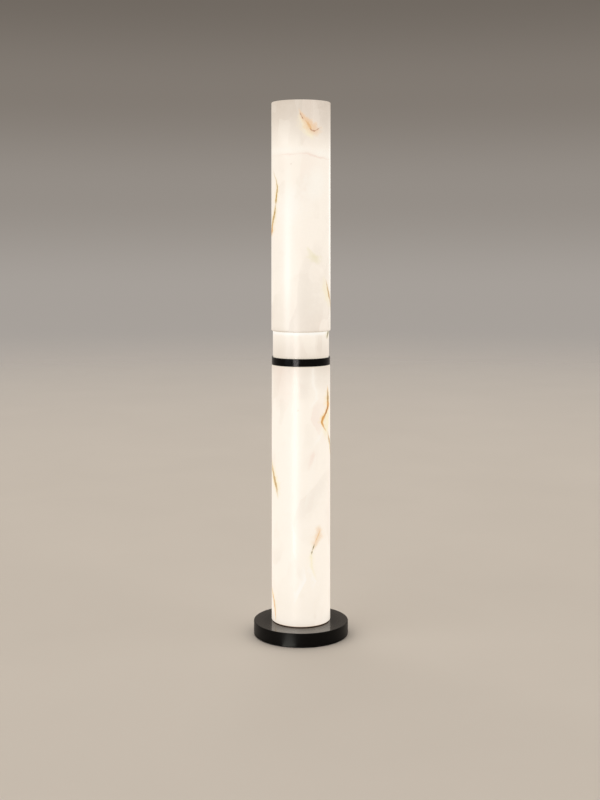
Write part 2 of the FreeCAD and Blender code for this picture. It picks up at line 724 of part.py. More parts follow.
def light_bar(z, top, hole_y):
    """A square extrusion between two sockets, with a side hole for the lead."""
    body = square_tube(BAR_SIDE, BAR_SIDE - 2 * BAR_WALL, z, top - z)
    place = FreeCAD.Vector(BAR_SIDE / 2 - BAR_WALL, hole_y, lead_exit_z(z))
    hole = Part.makeCylinder(LEAD_HOLE / 2, BAR_WALL, place, FreeCAD.Vector(1, 0, 0))
    return body.cut(hole)


def lower_light_bar():
    """Extrusion that spaces the seat from the coupling ring and cools the lower strips."""
    return light_bar(lower_bar_z, lower_bar_top, lead_holes()[1][1])


def upper_light_bar():
    """Extrusion that spaces the coupling ring from the cap and cools the upper strips."""
    return light_bar(upper_bar_z, upper_bar_top, lead_holes()[0][1])


def board_z(bar_z):
    """The underside of a section's joining board, on the boss round its extrusion."""
    return bar_z + SOCKET_DEPTH


def lead_exit_z(bar_z):
    """The height at which a lead leaves its extrusion, above the joining board."""
    return board_z(bar_z) + BOARD_THICKNESS + LEAD_RISE


def joining_board(bar_z):
    """A round board about an extrusion's foot, which feeds the four strips."""
    hole = BAR_SIDE + 2 * BOARD_GAP
    board = disc(diffuser_bore - 2 * BOARD_EDGE_GAP, board_z(bar_z), BOARD_THICKNESS)
    return board.cut(block(hole, hole, BOARD_THICKNESS, 0, 0, board_z(bar_z)))


def lower_board():
    """Joining board of the lower strips."""
    return joining_board(lower_bar_z)


def upper_board():
    """Joining board of the upper strips."""
    return joining_board(upper_bar_z)


def light_strip(z, length):
    """One strip on the +X side: a board with a row of light chips along it."""
    face = BAR_SIDE / 2
    middle = face + STRIP_THICKNESS / 2
    body = block(STRIP_THICKNESS, STRIP_WIDTH, length, middle, 0, z)
    count = int(length // CHIP_PITCH)
    first = z + (length - (count - 1) * CHIP_PITCH) / 2 - CHIP_LENGTH / 2
    chips = []
    for step in range(count):
        chip_x = face + STRIP_THICKNESS + CHIP_HEIGHT / 2
        chips.append(
            block(CHIP_HEIGHT, CHIP_WIDTH, CHIP_LENGTH, chip_x, 0, first + step * CHIP_PITCH)
        )
    return body.fuse(chips).removeSplitter()


def light_strips(bar_z, bar_top):
    """Four strips, one on each side of an extrusion."""
    z = board_z(bar_z) + BOARD_THICKNESS
    strip = light_strip(z, bar_top - SOCKET_DEPTH - STRIP_END_GAP - z)
    strips = []
    for quarter in range(4):
        turned = strip.copy()
        turned.rotate(AXIS_POINT, UP, 90.0 * quarter)
        strips.append(turned)
    return Part.makeCompound(strips)


def lower_light_strips():
    """Light strips of the lower section."""
    return light_strips(lower_bar_z, lower_bar_top)


def upper_light_strips():
    """Light strips of the upper section."""
    return light_strips(upper_bar_z, upper_bar_top)


# ---------------------------------------------------------------- rod and leads


def bottom_nut_z():
    """The underside of the rod's bottom nut."""
    return web_z - WASHER_THICKNESS - NUT_HEIGHT


def clamping_rod():
    """Hollow threaded rod up the middle, from the bottom nut to the top nut."""
    low = bottom_nut_z() - ROD_PAST_NUT
    high = tube_top + WASHER_THICKNESS + NUT_HEIGHT + ROD_PAST_NUT
    return ring(ROD_DIAMETER, ROD_BORE, low, high - low)


def rod_nuts():
    """The rod's bottom and top nuts."""
    bore = ROD_DIAMETER + 2 * THREAD_GAP
    nuts = []
    for z in (bottom_nut_z(), tube_top + WASHER_THICKNESS):
        nuts.append(hexagon(NUT_FLATS, z, NUT_HEIGHT).cut(disc(bore, z, NUT_HEIGHT)))
    return Part.makeCompound(nuts)


def rod_washers():
    """The washers under the rod's two nuts."""
    bore = ROD_DIAMETER + 2 * ROD_CLEARANCE
    washers = []
    for z in (web_z - WASHER_THICKNESS, tube_top):
        washers.append(ring(WASHER_DIAMETER, bore, z, WASHER_THICKNESS))
    return Part.makeCompound(washers)


def lead_side(step):
    """How far from the axis a lead passes the supply unit's end: inner lead, then outer lead."""
    return driver_length / 2 + LEAD_SIDE_REACH + (step - 0.5) * LEAD_SPACING


def lead_entry_y(step):
    """Where a lead meets the supply unit's end: inner lead nearer the rod, outer lead beyond it."""
    return driver_mid_y - (step - 0.5) * LEAD_SPACING


def mains_leads():
    """Two leads from the terminal block round to the supply unit's input end."""
    z = way_z()
    leads = []
    for step in range(2):
        way_x = terminal_way_places()[1 - step]
        near = TERMINAL_FROM_ROD - LEAD_REACH + step * LEAD_SPACING
        side = lead_side(step)
        points = [
            (way_x, TERMINAL_FROM_ROD + LEAD_GRIP, z),
            (way_x, near, z),
            (-side + LEAD_SIDE_REACH + LEAD_SIDE_STEP, near - LEAD_SIDE_REACH, z),
            (-side, driver_near_y, z),
            (-side, lead_entry_y(step), z),
            (-DRIVER_BODY_LENGTH / 2, lead_entry_y(step), z),
        ]
        leads.append(lead(f"mains lead {step + 1}", points))
    return Part.makeCompound(leads)


def earth_lead():
    """Lead from the terminal block's last way round to the earth lug's barrel."""
    way_x = terminal_way_places()[-1]
    lug_x = earth_place()[0]
    barrel_z, y_start = earth_barrel()[1:3]
    near = TERMINAL_FROM_ROD - LEAD_REACH
    points = [
        (way_x, TERMINAL_FROM_ROD + LEAD_GRIP, way_z()),
        (way_x, near, way_z()),
        (lug_x, near, barrel_z),
        (lug_x, y_start + LEAD_GRIP, barrel_z),
    ]
    return lead("earth lead", points)


def light_lead(name, step, hole, bar_z):
    """One lead from the supply unit's output end, up beside the rod and out to a joining board."""
    x, y = hole
    z = way_z()
    side = lead_side(step)
    out = BAR_SIDE / 2 + LEAD_BOARD_REACH
    board_top = board_z(bar_z) + BOARD_THICKNESS
    points = [
        (DRIVER_BODY_LENGTH / 2, lead_entry_y(step), z),
        (side, lead_entry_y(step), z),
        (side, driver_near_y, z),
        (x + LEAD_RUN_IN, y, z),
        (x, y, z),
        (x, y, lead_exit_z(bar_z)),
        (out, y, lead_exit_z(bar_z)),
        (out, y, board_top),
    ]
    return lead(name, points)


def light_leads():
    """The two leads that feed the upper and the lower joining board."""
    upper, lower = lead_holes()
    outer_lead = light_lead("upper light lead", 1, upper, upper_bar_z)
    inner_lead = light_lead("lower light lead", 0, lower, lower_bar_z)
    return Part.makeCompound([outer_lead, inner_lead])


NODES = {
    "floor_pad": floor_pad,
    "base_disc": base_disc,
    "base_cover": base_cover,
    "cover_screws": cover_screws,
    "cord_gland": cord_gland,
    "driver": driver,
    "driver_screws": driver_screws,
    "terminal_block": terminal_block,
    "terminal_screw": terminal_screw,
    "earth_lug": earth_lug,
    "earth_screw": earth_screw,
    "mains_leads": mains_leads,
    "earth_lead": earth_lead,
    "light_leads": light_leads,
    "lower_seat": lower_seat,
    "seat_screws": seat_screws,
    "clamping_rod": clamping_rod,
    "rod_nuts": rod_nuts,
    "rod_washers": rod_washers,
    "foot_gasket": foot_gasket,
    "lower_column": lower_column,
    "lower_light_bar": lower_light_bar,
    "lower_light_strips": lower_light_strips,
    "lower_board": lower_board,
    "lower_diffuser": lower_diffuser,
    "column_gasket": column_gasket,
    "coupling_ring": coupling_ring,
    "neck_gasket": neck_gasket,
    "neck_tube": neck_tube,
    "upper_light_bar": upper_light_bar,
    "upper_light_strips": upper_light_strips,
    "upper_board": upper_board,
    "upper_diffuser": upper_diffuser,
    "cap_gasket": cap_gasket,
    "tube_cap": tube_cap,
    "rest_ring": rest_ring,
    "outer_sleeve": outer_sleeve,
    "closing_disc": closing_disc,
}

os.makedirs("parts", exist_ok=True)
for name, make in NODES.items():
    shape = make()
    shape.exportStep(os.path.join("parts", name + ".step"))
    box = shape.BoundBox
    print(
        f"{name:20s} solids {len(shape.Solids):2d}  valid {shape.isValid()}  "
        f"volume {shape.Volume / 1000:9.2f} cm3  z {box.ZMin:8.2f} to {box.ZMax:8.2f}"
    )
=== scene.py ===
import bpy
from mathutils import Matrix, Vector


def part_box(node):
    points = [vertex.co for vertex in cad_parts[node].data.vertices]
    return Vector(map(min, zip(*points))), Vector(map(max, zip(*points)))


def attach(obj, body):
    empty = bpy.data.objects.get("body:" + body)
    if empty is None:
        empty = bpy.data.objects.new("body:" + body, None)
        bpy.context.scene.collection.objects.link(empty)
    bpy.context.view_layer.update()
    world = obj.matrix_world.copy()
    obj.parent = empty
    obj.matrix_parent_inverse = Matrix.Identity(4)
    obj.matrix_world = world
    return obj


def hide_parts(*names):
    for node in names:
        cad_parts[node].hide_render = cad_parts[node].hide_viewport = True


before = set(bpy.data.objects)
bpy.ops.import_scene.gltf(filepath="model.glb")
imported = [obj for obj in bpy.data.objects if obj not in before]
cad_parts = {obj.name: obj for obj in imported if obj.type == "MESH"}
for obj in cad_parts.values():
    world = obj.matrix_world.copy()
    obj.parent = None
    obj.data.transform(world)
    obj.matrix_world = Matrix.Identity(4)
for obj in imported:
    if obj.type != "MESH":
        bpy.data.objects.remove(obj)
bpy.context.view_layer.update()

"""A lit stone column floor lamp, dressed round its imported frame.

The stone tubes, the coupling ring and the closing disc are turned again as smooth pieces, and every
other node of the frame keeps its shape and gets its own finish. The lamp's own sizes are in
millimetres; noises, bumps and the studio are in metres, as the meshes are.
"""

import logging
import math
from dataclasses import dataclass
from enum import Enum
from typing import Any, Callable, Sequence

import bmesh
import bpy

LOG = logging.getLogger("lamp")
MM = 0.001

TURN_STEPS = 144
ROUNDING_STEPS = 4
FLOOR_STEPS = 96
SAME_PLACE = 1e-6
HALF_TURN = 180.0
WIDEST_MARK = 160.0

Colour = tuple[float, float, float]
Band = tuple[float, float]
Levels = tuple[tuple[float, float], ...]
Place = tuple[float, float, float, float]
Nodes = tuple[str, ...]
ZERO: Colour = (0.0, 0.0, 0.0)


# ---------------- shader tools


@dataclass(frozen=True)
class Grain:
    """One noise: how fine, how detailed and how bent it is, and what is made of it.

    share is how much it changes what it is added to, and band gives the levels of the noise
    between which its patches set in.
    """

    scale: float
    detail: float = 2.0
    bend: float = 0.0
    share: float = 1.0
    band: Band = (0.0, 1.0)


def math_method(operation: str, reflected: bool = False) -> Callable[..., "Val"]:
    """Makes a method of Val that adds one Math node.

    Args:
        operation: The node's operation.
        reflected: Whether the other value comes first.

    Returns:
        The method, which takes the other value where the operation has one.
    """

    def method(self: "Val", *others: Any) -> "Val":
        """Adds the node."""
        values = (*others, self) if reflected else (self, *others)
        return self.tree.node("ShaderNodeMath", {"operation": operation}, dict(enumerate(values)))

    return method


class Val:
    """One output socket of a material's nodes, with the arithmetic of plain numbers.

    fract is what it has above the next whole number down, sine takes it as radians, and angle is
    the angle in radians whose tangent is self / other, in the quadrant of both.
    """

    __add__ = __radd__ = math_method("ADD")
    __sub__ = math_method("SUBTRACT")
    __rsub__ = math_method("SUBTRACT", reflected=True)
    __mul__ = __rmul__ = math_method("MULTIPLY")
    __truediv__ = math_method("DIVIDE")
    __rtruediv__ = math_method("DIVIDE", reflected=True)
    __pow__ = math_method("POWER")
    __abs__ = math_method("ABSOLUTE")
    fract = math_method("FRACT")
    sine = math_method("SINE")
    angle = math_method("ARCTAN2")

    def __init__(self, tree: "Tree", socket: bpy.types.NodeSocket) -> None:
        """Keeps the socket and the tree it belongs to."""
        self.tree = tree
        self.socket = socket

    def __neg__(self) -> "Val":
        """-self."""
        return self * -1.0

    def sway(self, share: float) -> "Val":
        """How far a noise is above or below its middle, times share."""
        return (self - 0.5) * share

    def falling(self, start: float, end: float) -> "Val":
        """A smooth mask that is 1 where self is below start and 0 where it is above end."""
        return self.tree.node(
            "ShaderNodeMapRange",
            {"interpolation_type": "SMOOTHSTEP"},
            {"Value": self, "From Min": start, "From Max": end, "To Min": 1.0, "To Max": 0.0},
        )

    def rising(self, start: float, end: float) -> "Val":
        """A smooth mask that is 0 where self is below start and 1 where it is above end."""
        return 1.0 - self.falling(start, end)


class Tree:
    """The nodes of one material or world, and the calls that add to them.

    The two colours of a Mix node, and its mixed colour, go by their numbers.
    """

    MIX_COLOURS = (6, 7)
    MIX_RESULT = 2

    def __init__(self, owner: bpy.types.Material | bpy.types.World) -> None:
        """Empties the owner's nodes.

        Args:
            owner: The material or world whose nodes are made.
        """
        owner.use_nodes = True
        self.nodes = owner.node_tree.nodes
        self.links = owner.node_tree.links
        self.nodes.clear()

    def node(
        self,
        kind: str,
        settings: dict[str, Any] | None = None,
        sockets: dict[int | str, Any] | None = None,
        out: int | str = 0,
    ) -> Val | None:
        """Adds a node.

        Args:
            kind: The node's type.
            settings: Its settings, with a colour ramp's blend and stops under "color_ramp".
            sockets: Its inputs, as values or as sockets to link.
            out: Which output is returned.

        Returns:
            That output, or None where the node has none.
        """
        made = self.nodes.new(kind)
        for name, value in (settings or {}).items():
            if name == "color_ramp":
                self._fill_ramp(made.color_ramp, *value)
            else:
                setattr(made, name, value)
        for key, value in (sockets or {}).items():
            if isinstance(value, Val):
                self.links.new(value.socket, made.inputs[key])
            else:
                made.inputs[key].default_value = value
        return Val(self, made.outputs[out]) if len(made.outputs) else None

    @staticmethod
    def _fill_ramp(ramp: bpy.types.ColorRamp, blend: str, stops: Sequence[tuple[float, Colour]]) -> None:
        """Gives a colour ramp its blend and its stops, in rising order."""
        ramp.interpolation = blend
        while len(ramp.elements) > 1:
            ramp.elements.remove(ramp.elements[-1])
        ramp.elements[0].position = stops[0][0]
        ramp.elements[0].color = (*stops[0][1], 1.0)
        for position, colour in stops[1:]:
            ramp.elements.new(position).color = (*colour, 1.0)

    def place(self) -> Val:
        """Object coordinates, in metres in the lamp's own frame."""
        return self.node("ShaderNodeTexCoord", out="Object")

    def split(self, vector: Val) -> list[Val]:
        """The three parts of a vector or colour."""
        made = self.node("ShaderNodeSeparateXYZ", sockets={0: vector}).socket.node
        return [Val(self, output) for output in made.outputs]

    def join(self, x: Any, y: Any, z: Any) -> Val:
        """A vector from its three parts."""
        return self.node("ShaderNodeCombineXYZ", sockets={0: x, 1: y, 2: z})

    def mapped(
        self, vector: Val, location: Colour = ZERO, turn: Colour = ZERO, scale: Colour = (1.0, 1.0, 1.0)
    ) -> Val:
        """Coordinates moved, turned (in degrees) and stretched by a Mapping node."""
        radians = tuple(math.radians(angle) for angle in turn)
        sockets = {0: vector, "Location": location, "Rotation": radians, "Scale": scale}
        return self.node("ShaderNodeMapping", sockets=sockets)

    def noise(self, vector: Val, grain: Grain) -> Val:
        """Noise from 0 to 1, mostly near a half."""
        sockets = {"Vector": vector, "Scale": grain.scale, "Detail": grain.detail}
        return self.node("ShaderNodeTexNoise", sockets={**sockets, "Distortion": grain.bend})

    def sway(self, vector: Val, grain: Grain) -> Val:
        """Noise about 0, times the grain's share."""
        return self.noise(vector, grain).sway(grain.share)

    def patches(self, vector: Val, grain: Grain) -> Val:
        """Patches where the noise is above the grain's band, as strong as its share."""
        return self.noise(vector, grain).rising(*grain.band) * grain.share

    def cells(self, vector: Val, scale: float) -> Val:
        """A number from 0 to 1 for each softly bordered cell."""
        sockets = {"Vector": vector, "Scale": scale, "Smoothness": 0.25}
        colour = self.node("ShaderNodeTexVoronoi", {"feature": "SMOOTH_F1"}, sockets, "Color")
        return self.split(colour)[0]

    def ramp(self, value: Val, stops: Sequence[tuple[float, Colour]], blend: str = "LINEAR") -> Val:
        """A colour that runs through stops as value goes from 0 to 1."""
        return self.node("ShaderNodeValToRGB", {"color_ramp": (blend, stops)}, {0: value})

    def mix(self, a: Any, b: Any, factor: Any) -> Val:
        """Colour a where factor is 0, and colour b where it is 1."""
        colours = [(*colour, 1.0) if isinstance(colour, tuple) else colour for colour in (a, b)]
        sockets = {0: factor, **dict(zip(self.MIX_COLOURS, colours))}
        return self.node("ShaderNodeMix", {"data_type": "RGBA"}, sockets, self.MIX_RESULT)

    def worn(self, colour: Colour, kept: float, mask: Val) -> Val:
        """A colour that falls to a share of itself where mask is 1."""
        return self.mix(colour, tuple(part * kept for part in colour), mask)

    def tinted(self, colour: Val, amount: float) -> Val:
        """A colour times a plain number."""
        settings = {"operation": "SCALE"}
        return self.node("ShaderNodeVectorMath", settings, {0: colour, "Scale": amount})

    def bump(self, height: Val, depth: float) -> Val:
        """A normal from a height of 0 to 1 that stands for depth in metres."""
        return self.node("ShaderNodeBump", sockets={"Distance": depth, "Height": height})

    def surface(self, sockets: dict[str, Any]) -> None:
        """Ends the material in one Principled shader with these inputs."""
        self.output(self.node("ShaderNodeBsdfPrincipled", sockets=sockets))

    def output(self, shader: Val) -> None:
        """Ends the material in this shader."""
        self.node("ShaderNodeOutputMaterial", sockets={"Surface": shader})


def from_axis(x: Val, y: Val) -> Val:
    """Distance from the lamp's axis."""
    return (x * x + y * y) ** 0.5


# ---------------- finishes


class Finish:
    """A finish that makes one Blender material, once."""

    name: str

    def material(self) -> bpy.types.Material:
        """The material, made the first time it is asked for."""
        made = bpy.data.materials.get(self.name)
        if made is None:
            made = bpy.data.materials.new(self.name)
            self.fill(Tree(made))
        return made

    def fill(self, tree: Tree) -> None:
        """Adds the finish's nodes."""
        raise NotImplementedError

    def on(self, obj: bpy.types.Object) -> bpy.types.Object:
        """Puts the finish on every slot of an object, or on its mesh where it has none."""
        if not obj.material_slots:
            obj.data.materials.append(self.material())
        for slot in obj.material_slots:
            slot.material = self.material()
        return obj


class Tone(Enum):
    """Colours of a mark in the lit stone: its core, and the glow round it."""

    GOLD = ((0.54, 0.34, 0.10), (0.97, 0.82, 0.53))
    ORANGE = ((0.70, 0.33, 0.07), (0.97, 0.77, 0.42))
    RUST = ((0.30, 0.09, 0.04), (0.80, 0.48, 0.26))
    OLIVE = ((0.20, 0.15, 0.05), (0.80, 0.72, 0.48))
    AMBER = ((0.56, 0.34, 0.13), (0.96, 0.83, 0.57))
    MOSS = ((0.84, 0.77, 0.53), (0.94, 0.87, 0.69))
    PEACH = ((0.86, 0.58, 0.36), (0.96, 0.80, 0.60))
    STRAW = ((0.96, 0.86, 0.62), (0.98, 0.90, 0.70))
    WHITE = ((1.0, 0.98, 0.93), (1.0, 0.965, 0.90))
    CREAM = ((1.0, 0.95, 0.86), (1.0, 0.93, 0.83))
    ROSE = ((0.93, 0.78, 0.68), (0.95, 0.82, 0.72))
    SHADE = ((0.72, 0.64, 0.56), (0.83, 0.75, 0.66))

    def __init__(self, core: Colour, glow: Colour) -> None:
        """Keeps the two colours by name."""
        self.core = core
        self.glow = glow


class Run(Enum):
    """How a mark runs in the stone. A fold fades out to the right or left of its places."""

    UP = 0.0
    ROUND = 0.5
    FOLD_RIGHT = 1.0
    FOLD_LEFT = -1.0


GOLD, ORANGE, RUST, OLIVE, AMBER, MOSS, PEACH, STRAW, WHITE, CREAM, ROSE, SHADE = Tone
RIGHT, LEFT = Run.FOLD_RIGHT, Run.FOLD_LEFT


@dataclass(frozen=True)
class Mark:
    """One vein, smear or fold, from its lowest place upwards, or from left to right on a ROUND one.

    Each place gives degrees round from the front (to the right is positive), height in
    millimetres, half the width in millimetres, and strength from 0 to 1. glow is the strength of
    the colour round the core, spread how many times the core's width it reaches, and soft the
    share of the core over which it fades.
    """

    tone: Tone
    places: tuple[Place, ...]
    glow: float
    spread: float = 1.0
    run: Run = Run.UP
    soft: float = 0.75


def vein(tone: Tone, glow: float, spread: float, *places: Place) -> Mark:
    """A vein with a clear core."""
    return Mark(tone, places, glow, spread)


def wash(tone: Tone, glow: float, spread: float, *places: Place) -> Mark:
    """A smear that fades from its middle outwards."""
    return Mark(tone, places, glow, spread, soft=1.0)


def fold(tone: Tone, run: Run, glow: float, *places: Place) -> Mark:
    """A fold that is sharp along its places and fades out over its width on one side."""
    return Mark(tone, places, glow, run=run)


def belt(tone: Tone, glow: float, spread: float, soft: float, *places: Place) -> Mark:
    """A vein or smear that runs round the stone."""
    return Mark(tone, places, glow, spread, Run.ROUND, soft)


@dataclass(frozen=True)
class LitStone(Finish):
    """Polished translucent stone with the light behind it.

    The glow by height is the light's own: levels gives (height, level) pairs, where 0 is the
    dimmest stone and 1 the brightest. cut says where in the block the piece was cut.
    """

    name: str
    radius: float
    levels: Levels
    marks: tuple[Mark, ...] = ()
    cut: Colour = ZERO
    dim: Colour = (0.66, 0.565, 0.47)
    bright: Colour = (1.0, 0.918, 0.812)
    glow_share: float = 0.83
    body_share: float = 0.27
    cloud: Grain = Grain(7.0, 3.0, 0.6, 0.30)
    mottle: Grain = Grain(42.0, 4.0, share=0.10)
    rose: Grain = Grain(11.0, 3.0, 0.8, 0.26, (0.50, 0.75))
    grey: Grain = Grain(16.0, 3.0, 0.5, 0.16, (0.56, 0.74))
    fleck: Grain = Grain(230.0, 3.0, share=0.12)
    fleck_height: float = 0.006
    facet_scale: float = 22.0
    facet_bend: Grain = Grain(14.0, share=0.05)
    facet_places: Grain = Grain(10.0, 1.0, band=(0.4, 0.62))
    pale: Band = (0.62, 0.70)
    pale_share: float = 0.16
    dull: Band = (0.22, 0.30)
    dull_share: float = 0.14
    wander: Grain = Grain(48.0, 3.0, share=0.006)
    flicker: Grain = Grain(170.0, share=0.0012)
    ragged: Grain = Grain(95.0, 3.0, share=1.8)
    least_ragged: float = 0.1
    grit: Grain = Grain(380.0, share=0.9)
    least_grit: float = 0.55
    hair: float = 0.00005
    fold_edge: Band = (-0.0006, 0.0016)
    fold_fade: Band = (0.15, 1.0)

    def fill(self, tree: Tree) -> None:
        """Adds the stone's nodes: level by height, clouds, facets, drifts and marks."""
        place = tree.place()
        cut = tree.mapped(place, location=self.cut)
        x, y, z = tree.split(place)
        cloud = tree.noise(cut, self.cloud)
        shade = cloud.sway(self.cloud.share) + tree.sway(cut, self.mottle) + self._facets(tree, cut)
        shade = shade + self._level(tree, z)
        look = tree.mix(self.dim, self.bright, shade)
        rosy = tree.mapped(cut, location=(7.0, 2.0, 1.0), scale=(1.0, 1.0, 0.6))
        look = tree.mix(look, ROSE.glow, tree.patches(rosy, self.rose))
        greyish = tree.mapped(cut, location=(1.0, 8.0, 3.0))
        look = tree.mix(look, SHADE.glow, tree.patches(greyish, self.grey))
        wander = tree.sway(cut, self.wander)
        sweep = x.angle(-y) * (self.radius * MM) + wander + tree.sway(cut, self.flicker)
        ragged = tree.noise(cut, self.ragged) * self.ragged.share + self.least_ragged
        grit = self.least_grit + tree.noise(cut, self.grit) * self.grit.share
        grain = (sweep, z + wander, ragged, grit)
        for mark in self.marks:
            look = self._mark(tree, look, mark, grain)
        fleck = tree.noise(cut, self.fleck)
        tree.surface({
            "Base Color": tree.tinted(look, self.body_share),
            "Emission Color": tree.tinted(look, self.glow_share),
            "Emission Strength": 1.0,
            "Roughness": 0.36 + fleck.sway(self.fleck.share),
            "Coat Weight": 0.30,
            "Coat Roughness": 0.30,
            "Normal": tree.bump(cloud + fleck * self.fleck_height, depth=0.0012),
        })

    def _level(self, tree: Tree, z: Val) -> Val:
        """The level by height.

        Args:
            tree: The material's nodes.
            z: Height in metres.

        Returns:
            A number that is 0 at the dim end and 1 at the bright one.
        """
        low = self.levels[0][0]
        high = self.levels[-1][0]
        stops = [((height - low) / (high - low), (level,) * 3) for height, level in self.levels]
        along = (z - low * MM) / ((high - low) * MM)
        return tree.split(tree.ramp(along, stops))[0]

    def _facets(self, tree: Tree, cut: Val) -> Val:
        """Faint crystal facets, some paler and some duller, with soft borders, in places.

        Args:
            tree: The material's nodes.
            cut: Coordinates in the block that the piece was cut from.

        Returns:
            What the facets add to the level.
        """
        bend = tree.sway(cut, self.facet_bend)
        x, y, z = tree.split(tree.mapped(cut, turn=(24.0, 14.0, 0.0), scale=(1.0, 1.0, 0.45)))
        cell = tree.cells(tree.join(x + bend, y - bend * 0.8, z + bend), self.facet_scale)
        pale = cell.rising(*self.pale) * self.pale_share
        dull = cell.falling(*self.dull) * self.dull_share
        return (pale - dull) * tree.patches(cut, self.facet_places)

    def _mark(self, tree: Tree, look: Val, mark: Mark, grain: tuple[Val, Val, Val, Val]) -> Val:
        """Lays one mark over the stone.

        A ramp along the mark holds its centre, half its width and its strength, one in each of
        its three colour channels.

        Args:
            tree: The material's nodes.
            look: The stone's colour so far.
            mark: The vein, smear or fold.
            grain: Way round from the front and height, both in metres, the unevenness of the
                mark's width, and fine noise that breaks its core up.

        Returns:
            The colour with the mark.
        """
        sweep, rise, ragged, grit = grain
        per_degree = math.pi * self.radius / HALF_TURN
        ways = [degrees * per_degree for degrees, _, _, _ in mark.places]
        heights = [height for _, height, _, _ in mark.places]
        level = mark.run is Run.ROUND
        lengths, sides = (ways, heights) if level else (heights, ways)
        length, side = (sweep, rise) if level else (rise, sweep)
        low, long = lengths[0], lengths[-1] - lengths[0]
        edge, wide = min(sides), max(max(sides) - min(sides), 1.0)
        stops = [
            ((at - low) / long, ((off - edge) / wide, half / WIDEST_MARK, strength))
            for at, off, (_, _, half, strength) in zip(lengths, sides, mark.places)
        ]
        where, half, strength = tree.split(tree.ramp((length - low * MM) / (long * MM), stops))
        off = side - (where * (wide * MM) + edge * MM)
        width = half * (WIDEST_MARK * MM) * ragged + self.hair
        if mark.run in (RIGHT, LEFT):
            off = off * mark.run.value
            shape = off.rising(*self.fold_edge) * (off / width).falling(*self.fold_fade)
            return tree.mix(look, mark.tone.glow, shape * strength * mark.glow)
        away = abs(off) / width
        glow = (away / mark.spread).falling(0.0, 1.0) * strength * mark.glow
        core = away.falling(1.0 - mark.soft, 1.0) * strength * grit
        return tree.mix(tree.mix(look, mark.tone.glow, glow), mark.tone.core, core)


@dataclass(frozen=True)
class Lacquer(Finish):
    """Black stoved lacquer with a faint orange peel and a little dust.

    Above polished_from, in metres, it has a polished coat. Towards the lamp's axis that coat is
    thinned, by a share at the inner end of a band of distances and not at all at its outer end:
    a painted shade in the reflection round the column's foot.
    """

    name: str
    roughness: float
    gloss: float
    polished_from: float = 10.0
    foot_shade_share: float = 0.0
    colour: Colour = (0.0018, 0.0016, 0.0014)
    dust_colour: Colour = (0.05, 0.047, 0.042)
    foot_shade_between: Band = (0.070, 0.122)
    polish_edge: float = 0.0006
    peel: Grain = Grain(320.0)
    drift: Grain = Grain(14.0, 3.0, share=0.05)
    coat_drift: float = 0.08
    dust: Grain = Grain(900.0, 1.0, band=(0.68, 0.78))
    dust_cover: float = 0.5
    dust_dulling: float = 0.15

    def fill(self, tree: Tree) -> None:
        """Adds the lacquer's nodes."""
        place = tree.place()
        x, y, z = tree.split(place)
        # Painted shade: the coat thins towards the column's foot, which darkens its reflection there.
        foot_shade = from_axis(x, y).falling(*self.foot_shade_between) * self.foot_shade_share
        polish = z.rising(self.polished_from - self.polish_edge, self.polished_from) * (1.0 - foot_shade)
        drift = tree.noise(place, self.drift)
        dust = tree.patches(place, self.dust)
        tree.surface({
            "Base Color": tree.mix(self.colour, self.dust_colour, dust * self.dust_cover),
            "Roughness": self.roughness + drift * self.drift.share + dust * self.dust_dulling,
            "Specular IOR Level": self.gloss,
            "Coat Weight": polish * (1.0 - drift * self.coat_drift),
            "Coat Roughness": 0.06,
            "Coat IOR": 1.62,
            "Coat Tint": (1.0, 0.93, 0.84, 1.0),
            "Normal": tree.bump(tree.noise(place, self.peel), depth=0.00004),
        })


class Lay(Enum):
    """The way a metal's tool marks run, as their scales along x, y and z.

    For TURNED, x stands for the distance from the lamp's axis.
    """

    TURNED = (90.0, 0.0, 90.0)
    DRAWN = (60.0, 60.0, 1.0)
    TUMBLED = (8.0, 8.0, 8.0)


@dataclass(frozen=True)
class Metal(Finish):
    """Bare or plated metal with tool marks, and with a thread where pitch is given."""

    name: str
    colour: Colour
    roughness: float = 0.32
    lay: Lay = Lay.TUMBLED
    pitch: float = 0.0
    round_marks: Grain = Grain(9.0, 3.0, share=0.18)
    straight_marks: Grain = Grain(30.0, 3.0, share=0.18)
    marks_depth: float = 0.00003
    thread_marks: float = 0.1
    stain: Grain = Grain(24.0, 4.0, share=0.7, band=(0.42, 0.78))
    stain_dulling: float = 0.1
    stained: float = 0.72

    def fill(self, tree: Tree) -> None:
        """Adds the metal's nodes."""
        place = tree.place()
        x, y, z = tree.split(place)
        round_axis = self.lay is Lay.TURNED
        where = tree.join(from_axis(x, y), 0.0, z) if round_axis else place
        tool = self.round_marks if round_axis else self.straight_marks
        marks = tree.noise(tree.mapped(where, scale=self.lay.value), tool)
        stain = tree.noise(place, self.stain)
        height, depth = marks, self.marks_depth
        if self.pitch:
            turns = y.angle(x) / (2 * math.pi) + z / (self.pitch * MM)
            height = marks * self.thread_marks + abs(turns.fract() - 0.5) * 2.0
            depth = self.pitch * 0.5 * MM
        stains = stain.rising(*self.stain.band) * self.stain.share
        sheen = marks.sway(tool.share) + stain.sway(self.stain_dulling)
        tree.surface({
            "Base Color": tree.worn(self.colour, self.stained, stains),
            "Metallic": 1.0,
            "Roughness": self.roughness + sheen,
            "Normal": tree.bump(height, depth),
        })


